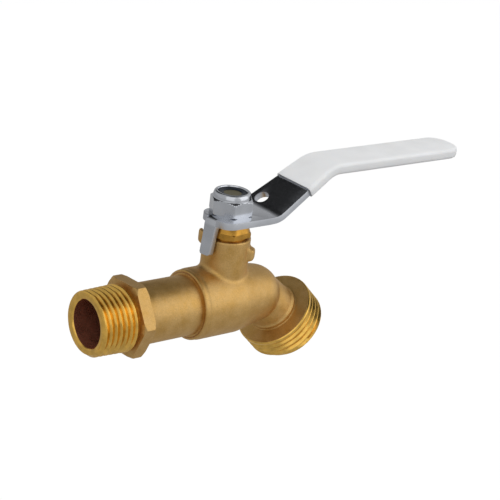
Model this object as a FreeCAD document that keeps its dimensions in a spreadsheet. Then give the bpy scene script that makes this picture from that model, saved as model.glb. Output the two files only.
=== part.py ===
import FreeCAD, Part
import math
import operator
import os

import Sketcher
from FreeCAD import Placement, Rotation, Vector

# A quarter-turn hose bibb, in millimetres.
# The origin is the centre of the inlet's end face, +X runs along the pipe towards the outlet
# and +Z runs up the stem. All pieces but the inlet adapter are drawn about the ball's centre.

SIZES = {
    # pipe line
    "stem_place": 51.2,  # inlet face to the stem's axis
    "running_gap": 0.1,  # radial gap of a turning fit
    "fixed_gap": 0.05,  # radial gap of a screwed or pressed fit
    "cut_past": 1.0,  # how far a cut reaches past the face that it opens
    # inlet adapter
    "pipe_crest_r": 10.36,  # crest radius at the inlet face
    "pipe_taper": 16.0,  # length for one unit of growth in diameter
    "pipe_pitch": 1.814,
    "pipe_thread_depth": 1.25,
    "pipe_thread_length": 13.1,  # inlet face to the hexagon
    "pipe_end_r": 9.93,  # edge of the inlet face
    "inlet_bore_r": 7.5,
    "inlet_mouth": 0.52,  # chamfer of the bore
    "inlet_hex_flats": 23.0,
    "inlet_hex_thick": 4.1,
    "inlet_hex_turn": -3.5,  # degrees about the pipe
    "inlet_hex_chamfer_r": 12.7,
    "barrel_r": 9.77,
    "spigot_r": 9.95,  # part that is screwed into the body
    # ball and seats
    "ball_r": 9.0,
    "waterway_r": 5.0,
    "ball_room": 0.4,  # cavity wall to ball
    "seat_front": 5.6,  # ball centre to the seat's front face
    "seat_back": 9.0,  # ball centre to the seat's back face
    "seat_film": 0.06,  # seat face to ball
    "seat_bore_extra": 0.2,
    "outlet_pocket_r": 8.8,  # pocket of the outlet seat
    "slot_width": 3.2,
    "slot_bottom": 6.4,  # above the ball's centre
    # valve body
    "body_r": 11.64,
    "body_back": 14.0,  # stem axis to the body's inlet face
    "body_front": 3.0,  # stem axis to where the barrel starts to narrow
    "rim_round": 0.5,
    "rim_wide": 1.9,  # turned band next to the inlet face
    "rim_drop": 0.22,  # band below the barrel
    "mouth_chamfer": 0.5,
    "elbow_place": 16.0,  # stem axis to the point where the waterway turns
    "dome_place": 12.9,  # stem axis to the centre of the body's domed end
    "dome_r": 9.5,
    "spout_slant": 45.0,  # degrees below the pipe
    "spout_length": 21.55,  # turning point to the hose end
    "neck_r": 7.3,
    "neck_straight": 1.5,
    "neck_end_r": 8.1,
    "bead_wide": 1.8,  # ring round the neck
    "bead_bow": 1.2,
    "bead_gap": 0.4,  # ring to the back of the hose thread
    "hose_crest_r": 13.495,
    "hose_thread_depth": 1.445,
    "hose_pitch": 2.209,
    "hose_thread_length": 10.35,
    "hose_first_crest": 1.17,  # hose end to the first crest
    "hose_end_r": 11.8,
    "hose_back_chamfer": 0.3,
    "hose_bore_r": 8.5,
    "hose_bore_depth": 6.0,
    "hose_bore_cone": 3.0,
    "crest_flat": 0.28,
    "flank_slant": 30.0,  # degrees, half of the thread's angle
    # boss and stop lugs
    "boss_r": 7.65,
    "boss_top": 22.0,
    "boss_fillet": 1.6,
    "lug_width": 4.4,
    "lug_out": 1.85,  # beyond the boss
    "lug_round": 1.2,
    "open_lug_tall": 4.8,
    "open_lug_rise": 2.2,  # top of the open stop above the boss
    "closed_lug_tall": 4.2,
    "closed_lug_drop": 3.0,  # top of the closed stop below the boss's top
    "handle_travel": 90.0,  # degrees
    "stop_gap": 1.8,  # degrees left between tab and lug
    # stem and packing
    "stem_r": 4.0,
    "collar_r": 5.2,
    "collar_bottom": 10.3,
    "collar_thick": 1.3,
    "washer_thick": 0.8,
    "gland_wall": 2.6,  # body wall above the washer
    "tang_thick": 3.0,
    "tang_length": 8.6,
    "tang_lift": 0.2,  # tang above the slot's bottom
    "ring_groove_lift": 0.8,  # groove above the gland wall's underside
    "ring_groove_width": 1.6,
    "ring_groove_depth": 0.8,
    "ring_wire": 0.84,
    "packing_r": 6.0,
    "packing_thick": 1.5,
    "packing_hex_thick": 2.4,
    "packing_hex_turn": 6.5,  # degrees about the stem
    "hub_r": 6.0,
    "hub_tall": 2.8,
    "hub_chamfer": 0.4,
    # lever
    "lever_gap": 0.37,  # above the packing nut
    "lever_thick": 2.2,
    "foot_place": 13.57,  # stem axis to the bend at the foot
    "top_place": 36.0,  # stem axis to the bend at the grip
    "grip_rise": 13.37,  # grip above the base
    "foot_bend": 8.0,
    "top_bend": 12.0,
    "lever_reach": 95.7,
    "base_half": 9.4,  # half widths along the lever
    "base_end": 9.0,
    "waist_half": 7.75,
    "waist_place": 25.0,
    "grip_half": 6.5,
    "grip_place": 38.0,
    "tip_flat": 1.0,
    "rear_place": 8.9,  # stem axis to the rear edge
    "rear_corner": 4.6,  # corner on the -Y side
    "rear_round": 4.8,  # corner on the +Y side
    "rear_start": 0.6,  # the +Y corner starts this far beside the lever's middle
    "shoulder_place": 1.0,  # full width starts here on the +Y side
    "tab_turn": 13.0,  # degrees past the rear
    "tab_lean": 8.0,  # degrees outwards
    "tab_gap": 0.25,  # tab to packing nut
    "tab_bend": 0.6,
    "tab_half": 2.2,
    "tab_waist_half": 2.0,
    "tab_waist_drop": 3.4,  # below the lever's base
    "tab_end_half": 1.9,
    "tab_overlap": 1.6,  # tab's end below the closed stop's top
    "tab_corner": 0.8,
    "oval_hole_r": 2.5,
    "oval_hole_along": 3.4,  # up the slope from the foot
    "oval_hole_aside": 4.2,
    "stem_flats": 5.8,
    "flats_play": 0.1,
    # sleeve
    "sleeve_wall": 0.8,
    "sleeve_start": 14.0,  # up the slope from the foot
    # lock nut
    "thread_r": 3.9,
    "thread_top": 6.43,  # stem's end above the lever
    "thread_chamfer": 0.45,
    "nut_flats": 12.7,
    "nut_hex_tall": 5.23,
    "nut_turn": 1.5,  # degrees about the stem
    "nut_chamfer_r": 6.45,
    "nut_collar_r": 6.3,
    "nut_collar_tall": 2.0,
    "nut_collar_lean": 0.3,
    "nut_collar_round": 0.6,
    "nut_mouth_r": 4.7,
    "insert_r": 5.4,
    "insert_thick": 1.7,
    "insert_depth": 0.4,  # below the collar's top
}

SIGNS = {"+": operator.add, "-": operator.sub, "*": operator.mul, "/": operator.truediv}


class Size:
    """A number together with the spreadsheet expression that gives it."""

    def __init__(self, number, text=None):
        self.number = float(number)
        self.text = text or "(%r)" % self.number

    def __add__(self, other):
        return combine(self, "+", other)

    def __radd__(self, other):
        return combine(other, "+", self)

    def __sub__(self, other):
        return combine(self, "-", other)

    def __rsub__(self, other):
        return combine(other, "-", self)

    def __mul__(self, other):
        return combine(self, "*", other)

    def __rmul__(self, other):
        return combine(other, "*", self)

    def __truediv__(self, other):
        return combine(self, "/", other)

    def __neg__(self):
        return combine(0, "-", self)


def as_size(value):
    """Return a plain number as a Size, and a Size as it is."""
    return value if isinstance(value, Size) else Size(value)


def combine(first, sign, second):
    """Join two sizes with one sign, in the number and in the expression."""
    first, second = as_size(first), as_size(second)
    number = SIGNS[sign](first.number, second.number)
    return Size(number, "(%s %s %s)" % (first.text, sign, second.text))


def cosine(angle):
    angle = as_size(angle)
    return Size(math.cos(math.radians(angle.number)), "cos(%s)" % angle.text)


def sine(angle):
    angle = as_size(angle)
    return Size(math.sin(math.radians(angle.number)), "sin(%s)" % angle.text)


def tangent(angle):
    return sine(angle) / cosine(angle)


def angle_of_sine(value):
    """Angle in degrees whose sine is given."""
    return Size(math.degrees(math.asin(value.number)), "(asin(%s) / 1 deg)" % value.text)


def angle_of_tangent(value):
    """Angle in degrees whose tangent is given."""
    return Size(math.degrees(math.atan(value.number)), "(atan(%s) / 1 deg)" % value.text)


def root(value):
    return Size(math.sqrt(value.number), "sqrt(%s)" % value.text)


def other_leg(longest, leg):
    """Third side of a right-angled triangle."""
    return root(longest * longest - leg * leg)


def fill_sheet(doc):
    """Write the driving dimensions into the spreadsheet and return them as Size objects."""
    sheet = doc.addObject("Spreadsheet::Sheet", "sizes")
    found = {}
    for row, (name, number) in enumerate(SIZES.items(), start=1):
        sheet.set("A%d" % row, name)
        sheet.set("B%d" % row, repr(number))
        sheet.setAlias("B%d" % row, name)
        found[name] = Size(number, "sizes." + name)
    doc.recompute()
    return found


doc = FreeCAD.newDocument("hose_bibb")
g = fill_sheet(doc)

# Shared places, each worked out once from the driving dimensions

cavity_r = g["ball_r"] + g["ball_room"]
spigot_hole_r = g["spigot_r"] + g["fixed_gap"]
stem_hole_r = g["stem_r"] + g["running_gap"]
collar_top = g["collar_bottom"] + g["collar_thick"]
washer_top = collar_top + g["washer_thick"]
chamber_floor = washer_top + g["gland_wall"]
packing_middle = chamber_floor + g["packing_thick"]
packing_top = packing_middle + g["packing_thick"]
chamber_r = g["packing_r"] + g["fixed_gap"]
hub_bottom = g["boss_top"] + g["packing_hex_thick"]
hub_top = hub_bottom + g["hub_tall"]
lever_bottom = hub_top + g["lever_gap"]
lever_top = lever_bottom + g["lever_thick"]
stem_top = lever_top + g["thread_top"]
open_lug_top = g["boss_top"] + g["open_lug_rise"]
closed_lug_top = g["boss_top"] - g["closed_lug_drop"]
tab_azimuth = 180 + g["tab_turn"]
tab_bottom = closed_lug_top - g["tab_overlap"]
tab_waist = lever_bottom - g["tab_waist_drop"]
flank = tangent(g["flank_slant"])


def corner(x, y):
    """Start of a straight edge."""
    return (as_size(x), as_size(y), None, 0)


def arc_left(x, y, radius):
    """Start of an edge that curves counterclockwise, by under half a turn."""
    return (as_size(x), as_size(y), as_size(radius), 1)


def arc_right(x, y, radius):
    """Start of an edge that curves clockwise, by under half a turn."""
    return (as_size(x), as_size(y), as_size(radius), -1)


def arc_centre(start, end, radius, side):
    """Centre of the short arc between two points, on the given side of the way between them."""
    half = (end - start) * 0.5
    away = math.sqrt(max(radius * radius - half.dot(half), 0.0))
    across = Vector(-half.y, half.x, 0).normalize()
    return start + half + across * (away * side)


def bind(sketch, constraint, size):
    """Add one constraint and tie its value to the sheet."""
    index = sketch.addConstraint(constraint)
    sketch.setExpression("Constraints[%d]" % index, size.text)


def draw_loop(sketch, points):
    """Draw one closed outline whose corners are held by the sheet."""
    first = sketch.GeometryCount
    places = [Vector(x.number, y.number, 0) for x, y, radius, side in points]
    starts = []
    ends = []
    for number, (x, y, radius, side) in enumerate(points):
        start, end = places[number], places[(number + 1) % len(places)]
        if side == 0:
            sketch.addGeometry(Part.LineSegment(start, end), False)
        else:
            centre = arc_centre(start, end, radius.number, side)
            circle = Part.Circle(centre, Vector(0, 0, 1), radius.number)
            near, far = (start, end) if side > 0 else (end, start)
            turn = circle.parameter(far) - circle.parameter(near)
            begin = circle.parameter(near)
            sketch.addGeometry(Part.ArcOfCircle(circle, begin, begin + turn % (2 * math.pi)), False)
        starts.append(2 if side < 0 else 1)
        ends.append(1 if side < 0 else 2)
    for number, (x, y, radius, side) in enumerate(points):
        before = (number - 1) % len(points)
        here = first + number
        sketch.addConstraint(
            Sketcher.Constraint("Coincident", first + before, ends[before], here, starts[number])
        )
        bind(sketch, Sketcher.Constraint("DistanceX", -1, 1, here, starts[number], x.number), x)
        bind(sketch, Sketcher.Constraint("DistanceY", -1, 1, here, starts[number], y.number), y)
        if side:
            bind(sketch, Sketcher.Constraint("Radius", here, radius.number), radius)


def draw_circle(sketch, x, y, radius):
    """Draw one circle held by the sheet."""
    x, y, radius = as_size(x), as_size(y), as_size(radius)
    index = sketch.GeometryCount
    circle = Part.Circle(Vector(x.number, y.number, 0), Vector(0, 0, 1), radius.number)
    sketch.addGeometry(circle, False)
    bind(sketch, Sketcher.Constraint("DistanceX", -1, 1, index, 3, x.number), x)
    bind(sketch, Sketcher.Constraint("DistanceY", -1, 1, index, 3, y.number), y)
    bind(sketch, Sketcher.Constraint("Radius", index, radius.number), radius)


def new_sketch(body, name, plane, x=0, y=0, lift=0, turn=0, turn_axis=Vector(0, 0, 1)):
    """Attach an empty sketch to one of the body's own planes, moved and turned within it."""
    sketch = body.newObject("Sketcher::SketchObject", name)
    planes = {feature.Role: feature for feature in body.Origin.OriginFeatures}
    sketch.AttachmentSupport = [(planes[plane], "")]
    sketch.MapMode = "FlatFace"
    shift = [as_size(x), as_size(y), as_size(lift)]
    turn = as_size(turn)
    base = Vector(*[part.number for part in shift])
    sketch.AttachmentOffset = Placement(base, Rotation(turn_axis, turn.number))
    for letter, part in zip("xyz", shift):
        sketch.setExpression("AttachmentOffset.Base." + letter, part.text)
    if turn.number:
        sketch.setExpression("AttachmentOffset.Rotation.Angle", turn.text)
    return sketch


def new_body(name, place=None, angle=0):
    """Make an empty body that stands at a place along the pipe."""
    body = doc.addObject("PartDesign::Body", name)
    body.Label = name
    body.Placement = Placement(Vector(0, 0, 0), Rotation(Vector(0, 0, 1), angle))
    if place is not None:
        body.setExpression("Placement.Base.x", place.text)
    return body


def check_change(body, feature, before):
    """Stop where an added or cut feature left the volume as it was."""
    doc.recompute()
    change = feature.Shape.Volume - before
    cuts = feature.TypeId in ("PartDesign::Pocket", "PartDesign::Groove")
    if (change >= 0) if cuts else (change <= 0):
        raise RuntimeError("%s.%s changes the volume by %.3f" % (body.Label, feature.Name, change))
    return feature


def volume_of(body):
    """Volume of a body so far, with 0 for an empty one."""
    return body.Shape.Volume if body.Tip else 0.0


def turned(body, kind, sketch, axis):
    """Revolve a sketch about its own horizontal or vertical axis, to add or to cut."""
    before = volume_of(body)
    feature = body.newObject("PartDesign::" + kind, sketch.Name + "_turned")
    feature.Profile = sketch
    feature.ReferenceAxis = (sketch, [axis])
    feature.Angle = 360
    return check_change(body, feature, before)


def raised(body, sketch, length, both_ways=False):
    """Pad a sketch along its normal."""
    before = volume_of(body)
    feature = body.newObject("PartDesign::Pad", sketch.Name + "_pad")
    feature.Profile = sketch
    feature.Length = as_size(length).number
    feature.setExpression("Length", as_size(length).text)
    if both_ways:
        feature.SideType = "Symmetric"
    return check_change(body, feature, before)


def sunk(body, sketch, length=None):
    """Pocket a sketch against its normal by a length, or both ways through all."""
    before = volume_of(body)
    feature = body.newObject("PartDesign::Pocket", sketch.Name + "_cut")
    feature.Profile = sketch
    if length is None:
        feature.Type = "ThroughAll"
        feature.SideType = "Symmetric"
    else:
        feature.Length = length.number
        feature.setExpression("Length", length.text)
    return check_change(body, feature, before)


def rounded(body, name, radius, chosen):
    """Round the edges that a test picks out."""
    base = body.Tip
    edges = ["Edge%d" % number for number, edge in enumerate(base.Shape.Edges, 1) if chosen(edge)]
    if not edges:
        raise RuntimeError("%s.%s finds no edge" % (body.Label, name))
    feature = body.newObject("PartDesign::Fillet", name)
    feature.Base = (base, edges)
    feature.Radius = radius.number
    feature.setExpression("Radius", radius.text)
    doc.recompute()
    return feature


def hexagon(flats, turn):
    """Corners of a hexagon, with the first one at the turn's angle."""
    corner_r = flats / (2 * cosine(30))
    angles = [turn + 60 * number for number in range(6)]
    return [corner(corner_r * cosine(angle), corner_r * sine(angle)) for angle in angles]


def hex_chamfer(body, name, plane, axis, flats, chamfer_r, face, away, place=0):
    """Turn the corners off a hexagon at one of its end faces. Away points out of the face."""
    over = flats / (2 * cosine(30)) + g["cut_past"]
    drop = (over - chamfer_r) * tangent(30) * (-away)
    spots = [(face, chamfer_r), (face, over), (face + drop, over)]
    if axis == "V_Axis":
        spots = [(across, along) for along, across in spots]
    sketch = new_sketch(body, name, plane, x=place)
    draw_loop(sketch, [corner(x, y) for x, y in spots])
    return turned(body, "Groove", sketch, axis)


def whole_crests(room, pitch):
    """Number of thread crests, one pitch apart, that fit in a length."""
    return int(math.floor(room.number / pitch.number)) + 1


# Inlet adapter: tapered pipe thread, hexagon and barrel


def pipe_crest(along):
    return g["pipe_crest_r"] + along / (2 * g["pipe_taper"])


def pipe_thread_profile():
    """Corners of the tapered thread from the inlet face to the hexagon."""
    depth = g["pipe_thread_depth"]
    flank_wide = depth * flank
    half_flat = g["crest_flat"] / 2
    end_bevel = g["pipe_crest_r"] - g["pipe_end_r"]
    lead = end_bevel + half_flat
    room = g["pipe_thread_length"] - lead - half_flat - flank_wide
    points = [corner(0, g["pipe_end_r"])]
    for number in range(whole_crests(room, g["pipe_pitch"])):
        middle = lead + number * g["pipe_pitch"]
        front = middle - half_flat
        back = middle + half_flat
        if number:
            foot = front - flank_wide
            points.append(corner(foot, pipe_crest(foot) - depth))
        points.append(corner(front, pipe_crest(front)))
        points.append(corner(back, pipe_crest(back)))
        foot = back + flank_wide
        points.append(corner(foot, pipe_crest(foot) - depth))
    hex_face = g["pipe_thread_length"]
    points.append(corner(hex_face, pipe_crest(hex_face) - depth))
    return points


def make_inlet_adapter():
    body = new_body("inlet_adapter")
    hex_back = g["pipe_thread_length"] + g["inlet_hex_thick"]
    step = g["stem_place"] - g["body_back"]
    end = g["stem_place"] - g["seat_back"]
    outside = new_sketch(body, "outside", "XZ_Plane")
    profile = [corner(0, 0)] + pipe_thread_profile()
    profile.append(corner(g["pipe_thread_length"], g["barrel_r"]))
    profile.append(corner(step, g["barrel_r"]))
    profile.append(corner(step, g["spigot_r"]))
    profile.append(corner(end, g["spigot_r"]))
    profile.append(corner(end, 0))
    draw_loop(outside, profile)
    turned(body, "Revolution", outside, "H_Axis")
    wrench = new_sketch(body, "wrench", "YZ_Plane", lift=g["pipe_thread_length"])
    draw_loop(wrench, hexagon(g["inlet_hex_flats"], g["inlet_hex_turn"]))
    raised(body, wrench, g["inlet_hex_thick"])
    flats, chamfer_r = g["inlet_hex_flats"], g["inlet_hex_chamfer_r"]
    front = g["pipe_thread_length"]
    hex_chamfer(body, "front_chamfer", "XZ_Plane", "H_Axis", flats, chamfer_r, front, -1)
    hex_chamfer(body, "back_chamfer", "XZ_Plane", "H_Axis", flats, chamfer_r, hex_back, 1)
    bore = new_sketch(body, "bore", "XZ_Plane")
    mouth_r = g["inlet_bore_r"] + g["inlet_mouth"]
    draw_loop(bore, [
        corner(0, 0),
        corner(0, mouth_r),
        corner(g["inlet_mouth"], g["inlet_bore_r"]),
        corner(end, g["inlet_bore_r"]),
        corner(end, 0),
    ])
    turned(body, "Groove", bore, "H_Axis")
    return body


# Valve body: turned barrel and dome, slanted spout, boss, lugs and waterways


def hose_thread_profile():
    """Corners of the hose thread from its back face to the hose end, along the spout."""
    depth = g["hose_thread_depth"]
    flank_wide = depth * flank
    half_flat = g["crest_flat"] / 2
    root_r = g["hose_crest_r"] - depth
    back_face = g["spout_length"] - g["hose_thread_length"]
    room = g["hose_thread_length"] - g["hose_first_crest"] - half_flat - g["hose_back_chamfer"] / 2
    count = whole_crests(room, g["hose_pitch"])
    points = [corner(back_face, g["hose_crest_r"] - g["hose_back_chamfer"])]
    for number in reversed(range(count)):
        middle = g["spout_length"] - g["hose_first_crest"] - number * g["hose_pitch"]
        if number < count - 1:
            points.append(corner(middle - half_flat - flank_wide, root_r))
        points.append(corner(middle - half_flat, g["hose_crest_r"]))
        points.append(corner(middle + half_flat, g["hose_crest_r"]))
        points.append(corner(middle + half_flat + flank_wide, root_r))
    points.append(corner(g["spout_length"], g["hose_end_r"]))
    return points


def dome_touch_angle():
    """Angle about the dome's centre, from the pipe, where the narrowing barrel runs into the dome."""
    run = g["dome_place"] - g["body_front"]
    reach = root(run * run + g["body_r"] * g["body_r"])
    return 90 - angle_of_tangent(g["body_r"] / run) + angle_of_sine(g["dome_r"] / reach)


def body_outside(body):
    """Barrel and dome about the pipe, neck and hose thread about the spout."""
    sketch = new_sketch(body, "barrel", "XZ_Plane")
    rim_r = g["body_r"] - g["rim_drop"]
    rim_end = g["rim_wide"] - g["body_back"]
    touch = dome_touch_angle()
    touch_place = g["dome_place"] + g["dome_r"] * cosine(touch)
    draw_loop(sketch, [
        corner(-g["body_back"], 0),
        arc_right(-g["body_back"], rim_r - g["rim_round"], g["rim_round"]),
        corner(g["rim_round"] - g["body_back"], rim_r),
        corner(rim_end, rim_r),
        corner(rim_end + g["rim_drop"], g["body_r"]),
        corner(g["body_front"], g["body_r"]),
        arc_right(touch_place, g["dome_r"] * sine(touch), g["dome_r"]),
        corner(g["dome_place"] + g["dome_r"], 0),
    ])
    turned(body, "Revolution", sketch, "H_Axis")
    back_face = g["spout_length"] - g["hose_thread_length"]
    bead_end = back_face - g["bead_gap"]
    sketch = new_sketch(body, "spout", "XZ_Plane", x=g["elbow_place"], turn=-g["spout_slant"])
    draw_loop(sketch, [
        corner(0, 0),
        corner(0, g["neck_r"]),
        corner(g["neck_straight"], g["neck_r"]),
        arc_right(bead_end - g["bead_wide"], g["neck_end_r"], g["bead_bow"]),
        corner(bead_end, g["neck_end_r"]),
        corner(back_face, g["neck_end_r"]),
        *hose_thread_profile(),
        corner(g["spout_length"], 0),
    ])
    turned(body, "Revolution", sketch, "H_Axis")


def on_boss_foot(edge):
    """Tell whether an edge runs where the boss meets the barrel."""
    for spot in edge.discretize(9):
        if abs(math.hypot(spot.x, spot.y) - g["boss_r"].number) > 0.01:
            return False
        if spot.z < 0 or spot.z > g["body_r"].number + 0.01:
            return False
    return True


def body_boss(body):
    sketch = new_sketch(body, "boss", "XY_Plane")
    draw_circle(sketch, 0, 0, g["boss_r"])
    raised(body, sketch, g["boss_top"])
    rounded(body, "boss_foot", g["boss_fillet"], on_boss_foot)


def tab_inner_at(level):
    """Distance from the stem's axis to the tab's inner face at a height."""
    return g["boss_r"] + g["tab_gap"] + (hub_bottom - level) * tangent(g["tab_lean"])


def tab_half_at(level):
    """Half of the tab's width at a height below its waist."""
    start = tab_bottom + g["tab_corner"]
    spread = (g["tab_waist_half"] - g["tab_end_half"]) / (tab_waist - start)
    return g["tab_end_half"] + (level - start) * spread


def stop_angle(lug_top):
    """Angle between tab and lug where the tab's inner corner would touch, with the stop gap."""
    inner, half = tab_inner_at(lug_top), tab_half_at(lug_top)
    touch_r = root(inner * inner + half * half)
    lug_half = g["lug_width"] / 2
    return angle_of_sine(half / touch_r) + angle_of_sine(lug_half / touch_r) + g["stop_gap"]


def body_lug(body, name, azimuth, top, tall):
    """One stop lug on the side of the boss, rounded at its outer corners."""
    root_place = g["boss_r"] - g["lug_out"] / 2
    reach = g["boss_r"] + g["lug_out"]
    half = g["lug_width"] / 2
    bow = g["lug_round"]
    sketch = new_sketch(body, name, "XY_Plane", lift=top - tall, turn=azimuth)
    draw_loop(sketch, [
        corner(root_place, -half),
        arc_left(reach - bow, -half, bow),
        corner(reach, bow - half),
        arc_left(reach, half - bow, bow),
        corner(reach - bow, half),
        corner(root_place, half),
    ])
    raised(body, sketch, tall)


def body_lugs(body):
    """The open stop stands ahead of the tab and the closed stop a quarter turn behind it."""
    open_azimuth = tab_azimuth - stop_angle(open_lug_top)
    closed_azimuth = tab_azimuth + g["handle_travel"] + stop_angle(closed_lug_top)
    body_lug(body, "open_stop", open_azimuth, open_lug_top, g["open_lug_tall"])
    body_lug(body, "closed_stop", closed_azimuth, closed_lug_top, g["closed_lug_tall"])
    sketch = new_sketch(body, "nut_seat", "XY_Plane", lift=open_lug_top + g["cut_past"])
    draw_circle(sketch, 0, 0, g["boss_r"] + g["tab_gap"])
    sunk(body, sketch, g["open_lug_rise"] + g["cut_past"])


def body_waterway(body):
    sketch = new_sketch(body, "cavity", "XZ_Plane")
    mouth_r = spigot_hole_r + g["mouth_chamfer"]
    draw_loop(sketch, [
        corner(-g["body_back"], 0),
        corner(-g["body_back"], mouth_r),
        corner(g["mouth_chamfer"] - g["body_back"], spigot_hole_r),
        corner(-g["seat_back"], spigot_hole_r),
        corner(-g["seat_back"], cavity_r),
        corner(g["seat_front"], cavity_r),
        corner(g["seat_front"], g["outlet_pocket_r"]),
        corner(g["seat_back"], g["outlet_pocket_r"]),
        corner(g["seat_back"], g["waterway_r"]),
        arc_right(g["elbow_place"], g["waterway_r"], g["waterway_r"]),
        corner(g["elbow_place"] + g["waterway_r"], 0),
    ])
    turned(body, "Groove", sketch, "H_Axis")
    sketch = new_sketch(body, "outlet", "XZ_Plane", x=g["elbow_place"], turn=-g["spout_slant"])
    bore_start = g["spout_length"] - g["hose_bore_depth"]
    draw_loop(sketch, [
        corner(0, 0),
        corner(0, g["waterway_r"]),
        corner(bore_start - g["hose_bore_cone"], g["waterway_r"]),
        corner(bore_start, g["hose_bore_r"]),
        corner(g["spout_length"], g["hose_bore_r"]),
        corner(g["spout_length"], 0),
    ])
    turned(body, "Groove", sketch, "H_Axis")


def body_gland(body):
    """Stepped hole for the stem, its collar and the packing."""
    start = g["waterway_r"]
    collar_hole_r = g["collar_r"] + 3 * g["running_gap"]
    sketch = new_sketch(body, "gland", "XZ_Plane")
    draw_loop(sketch, [
        corner(0, start),
        corner(collar_hole_r, start),
        corner(collar_hole_r, washer_top),
        corner(stem_hole_r, washer_top),
        corner(stem_hole_r, chamber_floor),
        corner(chamber_r, chamber_floor),
        corner(chamber_r, g["boss_top"] + g["cut_past"]),
        corner(0, g["boss_top"] + g["cut_past"]),
    ])
    turned(body, "Groove", sketch, "V_Axis")


def make_valve_body():
    body = new_body("valve_body", g["stem_place"])
    body_outside(body)
    body_boss(body)
    body_lugs(body)
    body_waterway(body)
    body_gland(body)
    return body


# Ball and its two seats


def make_ball():
    body = new_body("ball", g["stem_place"])
    half = other_leg(g["ball_r"], g["waterway_r"])
    sketch = new_sketch(body, "sphere", "XZ_Plane")
    draw_loop(sketch, [
        arc_right(-half, g["waterway_r"], g["ball_r"]),
        arc_right(0, g["ball_r"], g["ball_r"]),
        corner(half, g["waterway_r"]),
    ])
    turned(body, "Revolution", sketch, "H_Axis")
    slot = new_sketch(body, "slot", "XZ_Plane")
    wide = g["slot_width"] / 2
    over = g["ball_r"] + g["cut_past"]
    draw_loop(slot, [
        corner(-wide, g["slot_bottom"]),
        corner(wide, g["slot_bottom"]),
        corner(wide, over),
        corner(-wide, over),
    ])
    sunk(body, slot)
    return body


def make_seat(name, angle, pocket_r):
    """One seat ring on the inlet side, or turned half way round for the outlet side."""
    body = new_body(name, g["stem_place"], angle)
    face_r = g["ball_r"] + g["seat_film"]
    bore_r = g["waterway_r"] + g["seat_bore_extra"]
    outer_r = pocket_r - g["running_gap"]
    sketch = new_sketch(body, "seat", "XZ_Plane")
    draw_loop(sketch, [
        corner(-g["seat_back"], bore_r),
        arc_right(-other_leg(face_r, bore_r), bore_r, face_r),
        corner(-g["seat_front"], other_leg(face_r, g["seat_front"])),
        corner(-g["seat_front"], outer_r),
        corner(-g["seat_back"], outer_r),
    ])
    turned(body, "Revolution", sketch, "H_Axis")
    return body


# Stem, washer, O-ring, packing and packing nut


def make_stem():
    body = new_body("stem", g["stem_place"])
    groove_bottom = washer_top + g["ring_groove_lift"]
    groove_top = groove_bottom + g["ring_groove_width"]
    groove_r = g["stem_r"] - g["ring_groove_depth"]
    sketch = new_sketch(body, "shaft", "XZ_Plane")
    draw_loop(sketch, [
        corner(0, g["collar_bottom"]),
        corner(g["collar_r"], g["collar_bottom"]),
        corner(g["collar_r"], collar_top),
        corner(g["stem_r"], collar_top),
        corner(g["stem_r"], groove_bottom),
        corner(groove_r, groove_bottom),
        corner(groove_r, groove_top),
        corner(g["stem_r"], groove_top),
        corner(g["stem_r"], lever_bottom),
        corner(g["thread_r"], lever_bottom),
        corner(g["thread_r"], stem_top - g["thread_chamfer"]),
        corner(g["thread_r"] - g["thread_chamfer"], stem_top),
        corner(0, stem_top),
    ])
    turned(body, "Revolution", sketch, "V_Axis")
    tang_bottom = g["slot_bottom"] + g["tang_lift"]
    thick, length = g["tang_thick"] / 2, g["tang_length"] / 2
    tang = new_sketch(body, "tang", "XY_Plane", lift=tang_bottom)
    draw_loop(tang, [
        corner(-thick, -length),
        corner(thick, -length),
        corner(thick, length),
        corner(-thick, length),
    ])
    raised(body, tang, g["collar_bottom"] - tang_bottom)
    over = g["stem_r"] + g["cut_past"]
    flat = g["stem_flats"] / 2
    flats_top = lever_top + g["fixed_gap"]
    flats = new_sketch(body, "flats", "XY_Plane", lift=flats_top)
    for side in (-1, 1):
        draw_loop(flats, [
            corner(-over, side * flat),
            corner(over, side * flat),
            corner(over, side * over),
            corner(-over, side * over),
        ])
    sunk(body, flats, flats_top - lever_bottom)
    return body


def make_ring(name, inner_r, outer_r, bottom, top):
    """A plain ring about the stem."""
    body = new_body(name, g["stem_place"])
    sketch = new_sketch(body, "ring", "XZ_Plane")
    draw_loop(sketch, [
        corner(inner_r, bottom),
        corner(outer_r, bottom),
        corner(outer_r, top),
        corner(inner_r, top),
    ])
    turned(body, "Revolution", sketch, "V_Axis")
    return body


def make_o_ring():
    ring = doc.addObject("Part::Torus", "stem_o_ring")
    ring.Label = "stem_o_ring"
    wire_r = g["ring_wire"] / 2
    groove_r = g["stem_r"] - g["ring_groove_depth"]
    middle = washer_top + g["ring_groove_lift"] + g["ring_groove_width"] / 2
    ring.setExpression("Radius1", (groove_r + wire_r).text)
    ring.setExpression("Radius2", wire_r.text)
    ring.setExpression("Placement.Base.x", g["stem_place"].text)
    ring.setExpression("Placement.Base.z", middle.text)
    return ring


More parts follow.
